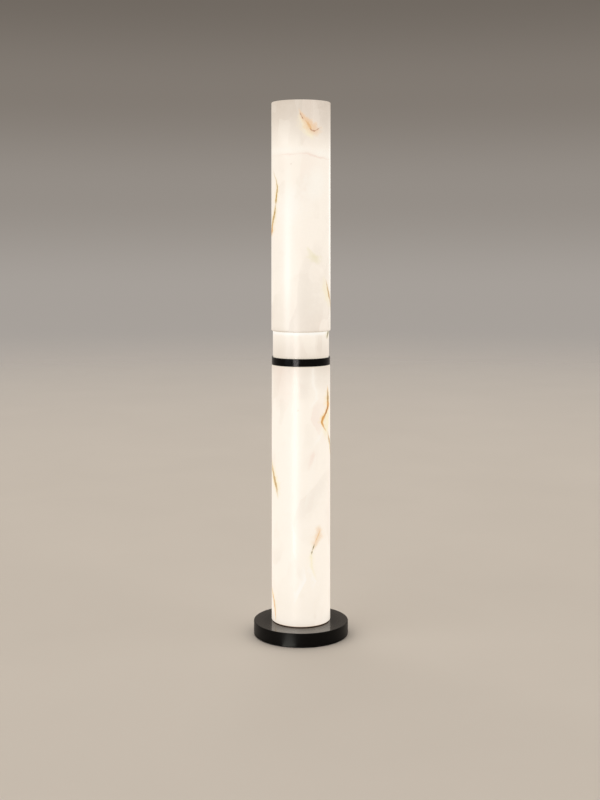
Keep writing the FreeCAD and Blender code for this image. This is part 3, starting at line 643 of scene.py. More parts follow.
@dataclass(frozen=True)
class Moulded(Finish):
    """Moulded plastic, rubber or powder coat: one colour with a fine grain and slight drift."""

    name: str
    colour: Colour
    roughness: float = 0.5
    grain: float = 700.0
    depth: float = 0.00005
    glow: Colour = ZERO
    stripe: Colour | None = None
    stripe_scale: float = 420.0
    stripe_edge: Band = (0.0, 0.2)
    grain_dulling: float = 0.1
    drift: Grain = Grain(20.0, 3.0, share=0.6, band=(0.35, 0.75))
    drift_dulling: float = 0.16
    drifted: float = 0.75

    def fill(self, tree: Tree) -> None:
        """Adds the plastic's nodes."""
        place = tree.place()
        grain = tree.noise(place, Grain(self.grain))
        drift = tree.noise(place, self.drift)
        drifts = drift.rising(*self.drift.band) * self.drift.share
        colour = tree.worn(self.colour, self.drifted, drifts)
        if self.stripe:
            x = tree.split(tree.mapped(place, turn=(0.0, 0.0, 30.0)))[0]
            stripes = (x * self.stripe_scale).sine().rising(*self.stripe_edge)
            colour = tree.mix(colour, self.stripe, stripes)
        dulling = drift.sway(self.drift_dulling) + grain.sway(self.grain_dulling)
        tree.surface({
            "Base Color": colour,
            "Roughness": self.roughness + dulling,
            "Emission Color": (*self.glow, 1.0),
            "Emission Strength": 1.0 if any(self.glow) else 0.0,
            "Normal": tree.bump(grain, self.depth),
        })


@dataclass(frozen=True)
class Strip(Finish):
    """A white light strip with copper pads between its small lamps."""

    name: str = "light_strip_finish"
    pad_pitch: float = 26.0
    pad_half: Band = (0.03, 0.05)
    pad_cover: float = 0.8
    white: Colour = (0.82, 0.80, 0.74)
    copper: Colour = (0.72, 0.42, 0.24)
    white_glow: Colour = (0.9, 0.78, 0.6)
    copper_glow: Colour = (0.2, 0.15, 0.1)
    grain: Grain = Grain(500.0, share=0.2)

    def fill(self, tree: Tree) -> None:
        """Adds the strip's nodes."""
        place = tree.place()
        row = tree.split(place)[2] / (self.pad_pitch * MM)
        pads = abs(row.fract() - 0.5).falling(*self.pad_half)
        grain = tree.noise(place, self.grain)
        tree.surface({
            "Base Color": tree.mix(self.white, self.copper, pads * self.pad_cover),
            "Roughness": 0.4 + grain.sway(self.grain.share),
            "Emission Color": tree.mix(self.white_glow, self.copper_glow, pads),
            "Emission Strength": 0.6,
            "Normal": tree.bump(grain, depth=0.00003),
        })


@dataclass(frozen=True)
class Plaster(Finish):
    """Pale studio floor, clear from the distance far on, where the surround shows."""

    name: str = "studio_floor"
    colour: Colour = (0.72, 0.675, 0.62)
    near: float = 0.9
    far: float = 12.0
    drift: Grain = Grain(1.6, 4.0, 0.4)
    drifted: float = 0.93

    def fill(self, tree: Tree) -> None:
        """Adds the floor's nodes."""
        place = tree.place()
        x, y, _ = tree.split(place)
        colour = tree.worn(self.colour, self.drifted, tree.noise(place, self.drift))
        sockets = {"Base Color": colour, "Roughness": 0.85, "Specular IOR Level": 0.0}
        floor = tree.node("ShaderNodeBsdfPrincipled", sockets=sockets)
        clear = tree.node("ShaderNodeBsdfTransparent")
        away = from_axis(x, y).rising(self.near, self.far)
        tree.output(tree.node("ShaderNodeMixShader", sockets={0: away, 1: floor, 2: clear}))


# ---------------- turning


@dataclass(frozen=True)
class Corner:
    """One corner of a turned piece's section, in millimetres: radius, height and rounding."""

    radius: float
    height: float
    rounding: float = 0.0


@dataclass(frozen=True)
class Span:
    """A round node's size and place in the frame, in millimetres."""

    radius: float
    foot: float
    top: float

    @classmethod
    def of(cls, node: str) -> "Span":
        """Reads a node's span at rest.

        Args:
            node: The node's name.

        Returns:
            Its radius, and the heights of its foot and top.
        """
        low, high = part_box(node)
        return cls(high.x / MM, low.z / MM, high.z / MM)


def turned(name: str, corners: Sequence[Corner], closed: bool = True) -> bpy.types.Object:
    """Turns a section round the lamp's axis.

    Args:
        name: The piece's name.
        corners: The section's corners, in order.
        closed: Whether the last corner joins the first. A section that is not closed starts
            and ends on the axis.

    Returns:
        The piece, at the origin, with smooth faces that point outwards.
    """
    bm = bmesh.new()
    points = [bm.verts.new((corner.radius * MM, 0.0, corner.height * MM)) for corner in corners]
    pairs = list(zip(points, points[1:]))
    if closed:
        pairs.append((points[-1], points[0]))
    for pair in pairs:
        bm.edges.new(pair)
    for point, corner in zip(points, corners):
        if corner.rounding:
            bmesh.ops.bevel(
                bm, geom=[point], offset=corner.rounding * MM, offset_type="OFFSET",
                affect="VERTICES", segments=ROUNDING_STEPS, profile=0.5, material=-1,
            )
    bmesh.ops.spin(
        bm, geom=bm.verts[:] + bm.edges[:], cent=(0.0, 0.0, 0.0), axis=(0.0, 0.0, 1.0),
        angle=2 * math.pi, steps=TURN_STEPS, use_merge=True,
    )
    bmesh.ops.remove_doubles(bm, verts=bm.verts[:], dist=SAME_PLACE)
    return finished(name, bm)


def finished(name: str, bm: bmesh.types.BMesh) -> bpy.types.Object:
    """Makes a piece of a bmesh.

    Args:
        name: The piece's name.
        bm: The mesh, which is freed.

    Returns:
        The piece, with outward normals, smooth faces and normals weighted by face size.
    """
    bmesh.ops.recalc_face_normals(bm, faces=bm.faces[:])
    for face in bm.faces:
        face.smooth = True
    mesh = bpy.data.meshes.new(name)
    bm.to_mesh(mesh)
    bm.free()
    obj = bpy.data.objects.new(name, mesh)
    bpy.context.scene.collection.objects.link(obj)
    weighted = obj.modifiers.new("weighted", "WEIGHTED_NORMAL")
    weighted.weight = 100
    weighted.keep_sharp = False
    return obj


def place(obj: bpy.types.Object, body: str, slot: str, *nodes: str) -> bpy.types.Object:
    """Hangs a piece on its body and lets it stand for CAD nodes.

    Args:
        obj: The piece.
        body: The body it moves with.
        slot: The record's material slot; not used.
        nodes: The CAD nodes it stands for.

    Returns:
        The piece.
    """
    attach(obj, body)
    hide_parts(*nodes)
    LOG.info("%s: %d faces, on %s, for %s", obj.name, len(obj.data.polygons), body, ", ".join(nodes))
    return obj


# ---------------- marks in the stone


# In each list the marks that the photograph shows come first, and the guessed ones after them.
COLUMN_MARKS = (
    wash(CREAM, 0.3, 1.3, (-24, 60, 30, 0), (-24, 160, 60, 0.3), (-26, 500, 70, 0.4), (-26, 640, 50, 0)),
    fold(SHADE, RIGHT, 0.6, (-3, 615, 40, 0), (-4, 655, 75, 0.7), (-5, 708, 90, 0.9)),
    wash(ROSE, 0.4, 1.4, (-45, 590, 20, 0), (-45, 640, 50, 0.25), (-45, 708, 60, 0.4)),
    fold(ROSE, RIGHT, 0.85, (41, 505, 20, 0), (35, 535, 60, 0.7), (18, 575, 70, 0.9), (24, 610, 60, 0.7),
         (35, 640, 20, 0)),
    fold(SHADE, RIGHT, 0.36, (-16, 290, 30, 0), (-14, 320, 70, 0.8), (-2, 367, 90, 1), (8, 377, 90, 1),
         (30, 405, 80, 0.9), (46, 427, 60, 0.7), (61, 437, 30, 0.4), (72, 445, 20, 0)),
    fold(WHITE, RIGHT, 1.0, (-10, 205, 3, 0), (-17, 235, 12, 0.8), (-16, 275, 14, 0.9), (-22, 315, 3, 0)),
    fold(WHITE, LEFT, 0.9, (-12, 95, 6, 0), (-2, 128, 20, 0.9), (11, 160, 20, 0.9), (6, 205, 6, 0)),
    fold(WHITE, LEFT, 0.7, (20, 130, 4, 0), (32, 155, 16, 0.8), (22, 185, 18, 0.8), (17, 215, 6, 0)),
    fold(SHADE, RIGHT, 0.35, (2, 150, 6, 0), (-8, 180, 20, 0.7), (-12, 215, 6, 0)),
    wash(CREAM, 0.7, 2.6, (16, 600, 3, 0), (24, 612, 8, 0.6), (32, 625, 7, 0.85), (31, 645, 7, 0.85),
         (24, 665, 7, 0.7), (24, 705, 5, 0.3)),
    vein(SHADE, 0.4, 2.6, (-7, 593, 2, 0), (-6, 597, 3, 0.4), (-5, 601, 2, 0)),
    wash(ROSE, 0.6, 2.6, (12, 440, 5, 0), (19, 462, 8, 0.5), (24, 480, 9, 0.8), (27, 497, 4, 0)),
    fold(CREAM, RIGHT, 0.8, (4, 330, 6, 0), (11, 380, 16, 0.6), (14, 425, 16, 0.7), (26, 470, 12, 0.7),
         (33, 498, 5, 0)),
    wash(CREAM, 0.7, 2.6, (22, 500, 6, 0), (36, 520, 12, 0.7), (46, 540, 10, 0.7), (52, 560, 4, 0)),
    wash(STRAW, 0.7, 1.6, (54, 515, 6, 0), (60, 545, 20, 0.8), (64, 580, 18, 0.8), (70, 605, 6, 0)),
    vein(ORANGE, 0.8, 2.4, (61, 533, 2, 0), (56, 543, 3, 0.35), (49, 555, 4.5, 0.75), (44, 565, 6.5, 1),
         (48, 575, 7, 1), (57, 587, 7, 1), (67, 602, 9, 1), (66, 612, 9, 1), (66, 627, 9, 0.9),
         (65, 642, 7, 0.6), (64, 660, 3, 0)),
    vein(RUST, 0.4, 2.6, (50, 568, 2, 0), (56, 583, 4, 0.5), (63, 598, 5, 0.6), (64, 610, 3, 0)),
    vein(OLIVE, 0.4, 2.6, (66, 608, 2, 0), (66, 622, 5, 0.6), (65, 638, 5, 0.6), (65, 650, 2, 0)),
    vein(AMBER, 0.7, 2.6, (108, 420, 1, 0), (98, 447, 3, 0.6), (88, 475, 7, 0.8), (81, 498, 9, 0.85),
         (73, 515, 7, 0.85), (67, 530, 5, 0.5), (64, 540, 3, 0)),
    vein(GOLD, 0.8, 3.2, (-50, 362, 3, 0), (-53, 378, 5, 0.3), (-58, 397, 8, 0.85), (-65, 417, 9, 0.9),
         (-75, 437, 9, 0.8), (-83, 455, 9, 0.4), (-88, 470, 5, 0)),
    wash(PEACH, 0.6, 1.7, (24, 232, 4, 0), (29, 250, 10, 0.55), (36, 268, 24, 0.5), (37, 281, 13, 0.55),
         (36, 291, 14, 0.4), (38, 302, 5, 0)),
    wash(ORANGE, 0.5, 2.6, (28, 252, 1, 0), (31, 262, 3, 0.4), (36, 274, 3, 0.55), (40, 284, 2, 0.3),
         (41, 292, 1, 0)),
    wash(STRAW, 0.6, 2.6, (34, 150, 2, 0), (26, 172, 5, 0.3), (21, 197, 6, 0.55), (20, 222, 5, 0.75),
         (23, 240, 3, 0)),
    vein(OLIVE, 0.6, 2.8, (21, 224, 1, 0), (22, 231, 2.2, 0.8), (23, 236, 1.4, 0.35), (25, 244, 2.6, 0.95),
         (28, 255, 1, 0)),
    vein(ORANGE, 0.8, 2.4, (-59, 42, 2, 0), (-60, 57, 3.5, 0.5), (-62, 77, 4.2, 0.65), (-66, 96, 5, 0.65),
         (-74, 110, 8, 0.6), (-86, 130, 8, 0)),
    vein(GOLD, 0.7, 2.6, (118, 90, 1, 0), (124, 150, 3.4, 0.8), (112, 210, 4, 0.9), (121, 260, 5.5, 1),
         (139, 315, 3.4, 0.7), (150, 350, 1, 0)),
    wash(PEACH, 0.5, 1.6, (112, 195, 4, 0), (118, 230, 20, 0.7), (126, 280, 12, 0.4), (130, 300, 3, 0)),
    vein(ORANGE, 0.75, 2.6, (-140, 420, 1, 0), (-128, 470, 4.4, 0.85), (-134, 520, 6, 1),
         (-118, 565, 4, 0.85), (-112, 610, 1, 0)),
    vein(OLIVE, 0.5, 2.6, (-134, 505, 1, 0), (-131, 525, 3, 0.8), (-124, 550, 1, 0)),
    vein(GOLD, 0.7, 2.6, (176, 480, 1, 0), (170, 540, 4, 0.7), (158, 585, 5, 0.85), (150, 640, 3, 0.5),
         (146, 670, 1, 0)),
    wash(PEACH, 0.6, 1.6, (-160, 120, 3, 0), (-168, 175, 18, 0.7), (-158, 240, 12, 0.6), (-150, 290, 3, 0)),
    vein(RUST, 0.5, 2.6, (-168, 160, 1, 0), (-165, 180, 3, 0.7), (-160, 215, 1, 0)),
    fold(SHADE, RIGHT, 0.34, (150, 100, 30, 0), (138, 180, 80, 0.9), (150, 260, 60, 0.7), (170, 330, 20, 0)),
    fold(SHADE, LEFT, 0.34, (-100, 230, 30, 0), (-112, 300, 70, 0.9), (-104, 380, 50, 0.6),
         (-96, 430, 20, 0)),
)

NECK_MARKS = (
    # A painted bright line of light round the neck, just under the sleeve's foot.
    belt(WHITE, 0.8, 1.8, 1.0, (-178, 795, 5, 0.75), (178, 795, 5, 0.75)),
    vein(OLIVE, 0.8, 2.6, (66, 776, 3, 0), (68, 785, 7, 0.7), (74, 794, 9, 0.8), (81, 806, 8, 0.5),
         (84, 850, 2, 0)),
    vein(GOLD, 0.7, 2.6, (-40, 860, 1, 0), (-28, 930, 4, 0.8), (-33, 1000, 5, 0.9), (-18, 1080, 3, 0.5),
         (-12, 1120, 1, 0)),
    vein(ORANGE, 0.7, 2.6, (130, 742, 1, 0), (134, 772, 4.4, 0.85), (142, 830, 5, 0.8), (150, 880, 1, 0)),
    vein(OLIVE, 0.6, 2.6, (-150, 900, 1, 0), (-142, 980, 4.4, 0.6), (-148, 1060, 4, 0.6),
         (-140, 1130, 1, 0)),
    wash(PEACH, 0.6, 1.6, (58, 1000, 3, 0), (64, 1070, 18, 0.7), (56, 1140, 10, 0.4), (54, 1170, 3, 0)),
    fold(SHADE, RIGHT, 0.34, (20, 850, 30, 0), (8, 930, 70, 0.8), (16, 1020, 60, 0.6), (30, 1080, 20, 0)),
)

SLEEVE_MARKS = (
    fold(SHADE, RIGHT, 0.4, (-5, 1345, 30, 0), (-8, 1368, 70, 0.8), (-11, 1385, 80, 0.9),
         (-13, 1401, 80, 0.9)),
    wash(SHADE, 0.3, 1.3, (52, 1300, 20, 0), (52, 1335, 50, 0.2), (52, 1401, 60, 0.3)),
    fold(SHADE, RIGHT, 0.62, (-25, 799, 110, 1), (-23, 825, 110, 1), (-13, 852, 105, 0.9),
         (-9, 870, 100, 0.8), (-7, 910, 95, 0.65), (-3, 960, 80, 0.45), (6, 990, 50, 0.2),
         (10, 1007, 20, 0)),
    fold(ROSE, RIGHT, 0.5, (-2, 1117, 30, 0), (-3, 1155, 70, 0.7), (-1, 1232, 80, 0.7), (2, 1260, 80, 0.4)),
    wash(CREAM, 0.8, 1.4, (18, 1125, 20, 0), (26, 1160, 50, 0.7), (32, 1200, 46, 0.7), (34, 1240, 16, 0)),
    wash(WHITE, 0.5, 2.6, (-22, 1070, 10, 0), (-22, 1095, 24, 0.6), (-20, 1120, 28, 0.7),
         (-17, 1155, 18, 0.4), (-16, 1185, 8, 0)),
    wash(CREAM, 0.5, 2.6, (-26, 860, 20, 0), (-28, 940, 34, 0.5), (-26, 1010, 36, 0.6),
         (-24, 1130, 36, 0.6), (-20, 1210, 20, 0)),
    # A painted brighter band of light round the sleeve, along the top of the lit tube inside.
    belt(CREAM, 0.35, 1.3, 1.0, (-178, 1268, 8, 0.2), (-60, 1268, 12, 0.3), (-42, 1269, 14, 0.7),
         (-22, 1269, 12, 0.5), (12, 1272, 10, 0.4), (24, 1266, 13, 0.3), (40, 1263, 14, 0.75),
         (63, 1260, 14, 0.6), (178, 1268, 8, 0.2)),
    # A painted shadow line: the top edge of the lit tube inside, seen through the stone.
    belt(ROSE, 0.5, 2.0, 0.75, (-178, 1259, 2, 0.15), (-80, 1258, 2, 0.15), (-48, 1258, 2.5, 0.2),
         (-22, 1259, 3, 0.55), (-6, 1260, 2, 0.25), (11, 1261, 3.5, 0.7), (20, 1258, 3.5, 0.85),
         (40, 1251, 3, 0.7), (63, 1248, 2.5, 0.3), (90, 1253, 2, 0.15), (178, 1259, 2, 0.15)),
    vein(SHADE, 0.4, 2.6, (-20, 1231, 2, 0), (-19, 1234, 3, 0.6), (-18, 1238, 2, 0)),
    vein(GOLD, 0.8, 2.8, (-80, 1050, 6, 0), (-77, 1065, 11, 0.8), (-70, 1088, 9, 0.95), (-62, 1107, 6, 1),
         (-59, 1120, 5, 0.8), (-58, 1130, 4, 0.3), (-57, 1140, 5, 1), (-54, 1158, 4.5, 1),
         (-53, 1176, 4, 0.75), (-56, 1194, 3.5, 0.35), (-64, 1210, 3, 0.2), (-70, 1225, 2, 0)),
    vein(ORANGE, 0.6, 1.8, (-82, 1043, 8, 0), (-78, 1062, 14, 0.9), (-72, 1080, 7, 0.4), (-68, 1095, 3, 0)),
    wash(STRAW, 0.7, 1.5, (25, 1294, 4, 0), (18, 1308, 16, 0.6), (8, 1330, 16, 0.6), (0, 1350, 9, 0.5),
         (-4, 1368, 3, 0)),
    wash(PEACH, 0.5, 1.4, (32, 1302, 8, 0), (27, 1315, 28, 0.5), (22, 1328, 32, 0.75), (15, 1342, 25, 0.8),
         (6, 1355, 14, 0.75), (-1, 1367, 6, 0.6), (-5, 1379, 2, 0)),
    belt(RUST, 0.4, 2.2, 0.75, (16, 1326, 1, 0), (19, 1323, 3.4, 0.8), (21, 1321, 2.5, 0.4),
         (26, 1319, 2.6, 0.65), (30, 1321, 1.6, 0.3), (35, 1326, 2.2, 0.5), (40, 1329, 1, 0)),
    wash(ORANGE, 0.4, 2.6, (20, 1318, 2, 0), (18, 1328, 6, 0.5), (13, 1340, 5, 0.45), (8, 1350, 2, 0)),
    vein(RUST, 0.4, 2.6, (5, 1348, 1, 0), (3, 1353, 2.6, 0.7), (1, 1358, 1.6, 0.3), (-1, 1362, 2.4, 0.6),
         (-2, 1368, 1, 0)),
    wash(MOSS, 0.5, 1.5, (36, 972, 6, 0), (30, 982, 24, 0.4), (26, 994, 26, 0.6), (20, 1004, 12, 0.4),
         (14, 1016, 6, 0.3), (11, 1024, 3, 0)),
    wash(STRAW, 0.6, 1.5, (72, 855, 6, 0), (60, 885, 16, 0.5), (53, 915, 16, 0.5), (50, 950, 5, 0)),
    vein(AMBER, 0.7, 2.6, (105, 808, 1, 0), (96, 830, 3, 0.6), (87, 855, 6, 0.8), (79, 874, 8, 0.85),
         (70, 893, 8, 0.85), (64, 908, 6, 0.8), (59, 924, 4, 0.5), (56, 938, 2, 0)),
    vein(OLIVE, 0.7, 2.6, (160, 850, 1, 0), (150, 910, 4, 0.6), (158, 980, 5.4, 0.8), (143, 1040, 4, 0.6),
         (138, 1090, 1, 0)),
    vein(ORANGE, 0.75, 2.6, (128, 1120, 1, 0), (118, 1180, 4.4, 0.8), (124, 1235, 6, 1),
         (110, 1290, 4, 0.7), (104, 1330, 1, 0)),
    vein(GOLD, 0.75, 2.6, (-128, 880, 1, 0), (-136, 950, 4, 0.8), (-122, 1020, 5.4, 0.9),
         (-130, 1080, 3.4, 0.6), (-136, 1120, 1, 0)),
    wash(PEACH, 0.6, 1.6, (-165, 1200, 3, 0), (-172, 1260, 20, 0.8), (-160, 1320, 12, 0.6),
         (-156, 1350, 3, 0)),
    vein(RUST, 0.5, 2.6, (-172, 1240, 1, 0), (-168, 1265, 3, 0.8), (-162, 1300, 1, 0)),
    fold(SHADE, LEFT, 0.34, (170, 860, 30, 0), (160, 960, 80, 0.9), (172, 1080, 60, 0.7),
         (176, 1160, 20, 0)),
    fold(SHADE, LEFT, 0.34, (-110, 1040, 30, 0), (-118, 1120, 70, 0.9), (-106, 1200, 50, 0.6),
         (-100, 1250, 20, 0)),
)


# ---------------- the lamp


@dataclass
class LowerColumn:
    """The lower stone column."""

    bore: float = 67.0
    arris: float = 1.0
    inner_arris: float = 0.3
    levels: Levels = (
        (40, 0.74), (52, 0.97), (95, 0.95), (160, 0.99), (330, 1.02), (480, 1.08), (590, 1.03), (650, 0.88),
        (680, 0.7), (697, 0.53), (707, 0.4),
    )
    marks: tuple[Mark, ...] = COLUMN_MARKS

    def build(self) -> None:
        """Turns and dresses the column."""
        span = Span.of("lower_column")
        section = (
            Corner(self.bore, span.foot, self.inner_arris),
            Corner(span.radius, span.foot, self.arris),
            Corner(span.radius, span.top, self.arris),
            Corner(self.bore, span.top, self.inner_arris),
        )
        column = turned("lower_column_stone", section)
        LitStone("lower_stone_lit", span.radius, self.levels, self.marks).on(column)
        place(column, "stand", "lower_stone", "lower_column")


@dataclass
class Coupling:
    """The black ring at mid height, stepped inside both stone bores."""

    arris: float = 0.5
    low_spigot: float = 66.5
    high_spigot: float = 59.5
    spigot_height: float = 8.0
    boss: float = 47.2
    rod_hole: float = 5.2

    def build(self) -> None:
        """Turns and dresses the ring, whose band fills the space between the soft rings."""
        whole = Span.of("coupling_ring")
        foot = Span.of("column_gasket").top
        top = Span.of("neck_gasket").foot
        low_step = foot - self.spigot_height
        high_step = top + self.spigot_height
        section = (
            Corner(self.rod_hole, whole.foot),
            Corner(self.boss, whole.foot),
            Corner(self.boss, low_step),
            Corner(self.low_spigot, low_step),
            Corner(self.low_spigot, foot),
            Corner(whole.radius, foot, self.arris),
            Corner(whole.radius, top, self.arris),
            Corner(self.high_spigot, top),
            Corner(self.high_spigot, high_step),
            Corner(self.boss, high_step),
            Corner(self.boss, whole.top),
            Corner(self.rod_hole, whole.top),
        )
        ring = turned("coupling_ring_band", section)
        Lacquer("ring_lacquer", roughness=0.16, gloss=0.11).on(ring)
        place(ring, "stand", "ring_black", "coupling_ring")


@dataclass
class Neck:
    """The inner lit tube, whose foot shows as the neck."""

    spigot: float = 69.5
    bore: float = 60.0
    rebate: float = 64.0
    arris: float = 1.0
    shoulder_arris: float = 0.4
    top_arris: float = 0.6
    inner_arris: float = 0.3
    cut: Colour = (1.3, 0.4, 2.2)
    levels: Levels = (
        (733, 0.46), (740, 0.53), (760, 0.66), (785, 0.88), (799, 1.08), (1180, 1.08), (1235, 0.9),
        (1261, 0.6),
    )
    marks: tuple[Mark, ...] = NECK_MARKS

    def build(self) -> None:
        """Turns and dresses the tube, whose shoulder carries the rest ring."""
        span = Span.of("neck_tube")
        shoulder = Span.of("rest_ring").foot
        rebate_foot = Span.of("cap_gasket").foot
        section = (
            Corner(self.bore, span.foot, self.inner_arris),
            Corner(span.radius, span.foot, self.arris),
            Corner(span.radius, shoulder, self.shoulder_arris),
            Corner(self.spigot, shoulder, self.inner_arris),
            Corner(self.spigot, span.top, self.top_arris),
            Corner(self.rebate, span.top, self.inner_arris),
            Corner(self.rebate, rebate_foot),
            Corner(self.bore, rebate_foot, self.inner_arris),
        )
        tube = turned("neck_tube_stone", section)
        LitStone("neck_stone_lit", span.radius, self.levels, self.marks, self.cut).on(tube)
        place(tube, "stand", "neck_stone", "neck_tube")


@dataclass
class Sleeve:
    """The outer stone sleeve and the disc that closes it."""

    bore: float = 70.0
    rebate: float = 73.0
    foot_arris: float = 1.0
    foot_inner_arris: float = 0.5
    top_round: float = 2.0
    seat_arris: float = 0.3
    joint_arris: float = 0.2
    cut: Colour = (4.1, 2.7, 0.9)
    disc_cut: Colour = (2.6, 5.3, 1.7)
    disc_levels: Levels = ((1390.0, 0.30), (1400.0, 0.16))
    levels: Levels = (
        (800, 0.15), (804, 0.66), (815, 0.77), (850, 0.82), (900, 0.9), (1000, 0.97), (1080, 1.04),
        (1150, 1.08), (1210, 1.01), (1256, 0.98), (1276, 0.98), (1290, 0.84), (1320, 0.6), (1350, 0.36),
        (1380, 0.2), (1400, 0.12),
    )
    marks: tuple[Mark, ...] = SLEEVE_MARKS

    def build(self) -> None:
        """Turns and dresses the sleeve and its disc."""
        self._sleeve()
        self._disc()

    def _sleeve(self) -> None:
        """The tube, rebated at its top for the disc."""
        span = Span.of("outer_sleeve")
        disc_foot = Span.of("closing_disc").foot
        section = (
            Corner(self.bore, span.foot, self.foot_inner_arris),
            Corner(span.radius, span.foot, self.foot_arris),
            Corner(span.radius, span.top, self.top_round),
            Corner(self.rebate, span.top, self.joint_arris),
            Corner(self.rebate, disc_foot),
            Corner(self.bore, disc_foot, self.seat_arris),
        )
        sleeve = turned("outer_sleeve_stone", section)
        LitStone("sleeve_stone_lit", span.radius, self.levels, self.marks, self.cut).on(sleeve)
        place(sleeve, "sleeve", "sleeve_stone", "outer_sleeve")

    def _disc(self) -> None:
        """The disc, of the same stone without veins."""
        span = Span.of("closing_disc")
        section = (
            Corner(0.0, span.foot),
            Corner(span.radius, span.foot, self.joint_arris),
            Corner(span.radius, span.top, self.joint_arris),
            Corner(0.0, span.top),
        )
        disc = turned("closing_disc_stone", section, closed=False)
        LitStone("disc_stone_lit", span.radius, self.disc_levels, cut=self.disc_cut).on(disc)
        place(disc, "sleeve", "sleeve_stone", "closing_disc")


@dataclass
class Fittings:
    """The CAD nodes that keep their own shape, by the finish that they wear."""

    finishes: tuple[tuple[Finish, Nodes], ...] = (
        (Moulded("black_rubber", (0.02, 0.02, 0.02), 0.75, 500.0, 0.0001), ("floor_pad",)),
        # The base's coat thins near the column's foot, a painted shade in its reflection.
        (Lacquer("base_lacquer", 0.38, 0.11, polished_from=0.0368, foot_shade_share=0.42), ("base_disc",)),
        (Moulded("black_powder", (0.012, 0.012, 0.012), 0.55, 900.0, 0.00008), ("base_cover",)),
        (Moulded("gland_nylon", (0.018, 0.018, 0.018), 0.42), ("cord_gland",)),
        (Moulded("supply_case", (0.66, 0.66, 0.63), 0.5), ("driver",)),
        (Moulded("terminal_ivory", (0.78, 0.74, 0.64), 0.42), ("terminal_block",)),
        (Metal("lug_brass", (0.80, 0.56, 0.26), 0.3), ("earth_lug", "earth_screw")),
        (Moulded("mains_sheath", (0.24, 0.10, 0.05), 0.42), ("mains_leads",)),
        (Moulded("earth_sheath", (0.10, 0.34, 0.06), 0.42, stripe=(0.80, 0.66, 0.05)), ("earth_lead",)),
        (Moulded("light_sheath", (0.5, 0.03, 0.02), 0.42), ("light_leads",)),
        (Moulded("seat_bronze", (0.13, 0.095, 0.07), 0.42, 900.0, 0.00008), ("lower_seat",)),
        (Metal("threaded_steel", (0.58, 0.57, 0.55), 0.34, Lay.TURNED, 1.5), ("clamping_rod",)),
        (
            Metal("zinc_plate", (0.62, 0.62, 0.60), 0.3),
            ("cover_screws", "driver_screws", "terminal_screw", "seat_screws", "rod_nuts", "rod_washers"),
        ),
        # The foot gasket's glow is painted light, which lightens the shade line round the column's foot.
        (
            Moulded("foot_ring_brown", (0.16, 0.10, 0.07), 0.5, glow=(0.74, 0.53, 0.38)),
            ("foot_gasket",),
        ),
        (
            Moulded("lit_silicone", (0.30, 0.27, 0.23), 0.3, glow=(0.62, 0.56, 0.47)),
            ("column_gasket", "neck_gasket", "cap_gasket"),
        ),
        (
            Metal("drawn_aluminium", (0.80, 0.80, 0.79), 0.32, Lay.DRAWN),
            ("lower_light_bar", "upper_light_bar"),
        ),
        (Strip(), ("lower_light_strips", "upper_light_strips")),
        (Moulded("board_white", (0.74, 0.74, 0.70), 0.45), ("lower_board", "upper_board")),
        (
            Moulded("opal_tube", (0.5, 0.5, 0.48), 0.45, glow=(0.5, 0.46, 0.40)),
            ("lower_diffuser", "upper_diffuser"),
        ),
        (Metal("turned_aluminium", (0.82, 0.82, 0.81), 0.28, Lay.TURNED), ("tube_cap",)),
        (Moulded("natural_nylon", (0.80, 0.76, 0.66), 0.5), ("rest_ring",)),
    )

    def build(self) -> None:
        """Dresses every carried-over node."""
        for finish, nodes in self.finishes:
            for node in nodes:
                finish.on(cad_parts[node])
                LOG.info("%s: keeps its shape, finished in %s", node, finish.name)


# ---------------- studio


def hang(light: bpy.types.Light, turn: Colour, at: Colour = ZERO) -> bpy.types.Object:
    """Hangs a light, which the camera doesn't see, turned in radians and at a place in metres."""
    lamp = bpy.data.objects.new(light.name, light)
    lamp.location = at
    lamp.rotation_euler = turn
    lamp.visible_camera = False
    bpy.context.scene.collection.objects.link(lamp)
    LOG.info("%s: a light of strength %.2f", light.name, light.energy)
    return lamp


@dataclass(frozen=True)
class Panel:
    """A pane of light that only gloss sees.

    It stands at so many degrees round from the camera's side, at a distance and height in
    metres, and faces the lamp. A flat one lies there and faces up, its tall side along the way
    out. turn then turns it about its own upright line.
    """

    name: str
    degrees: float
    distance: float
    height: float
    width: float
    tall: float
    radiance: float
    flat: bool = False
    turn: float = 0.0
    colour: Colour = (0.84, 0.92, 1.0)

    def build(self) -> None:
        """Hangs the pane, which diffuse surfaces don't see."""
        data = bpy.data.lights.new(self.name, "AREA")
        data.shape = "RECTANGLE"
        data.size = self.width
        data.size_y = self.tall
        data.color = self.colour
        data.energy = self.radiance * self.width * self.tall * math.pi
        angle = math.radians(self.degrees)
        at = (math.sin(angle) * self.distance, -math.cos(angle) * self.distance, self.height)
        tilt = math.pi if self.flat else math.pi / 2.0
        hang(data, (tilt, 0.0, angle + math.radians(self.turn)), at).visible_diffuse = False


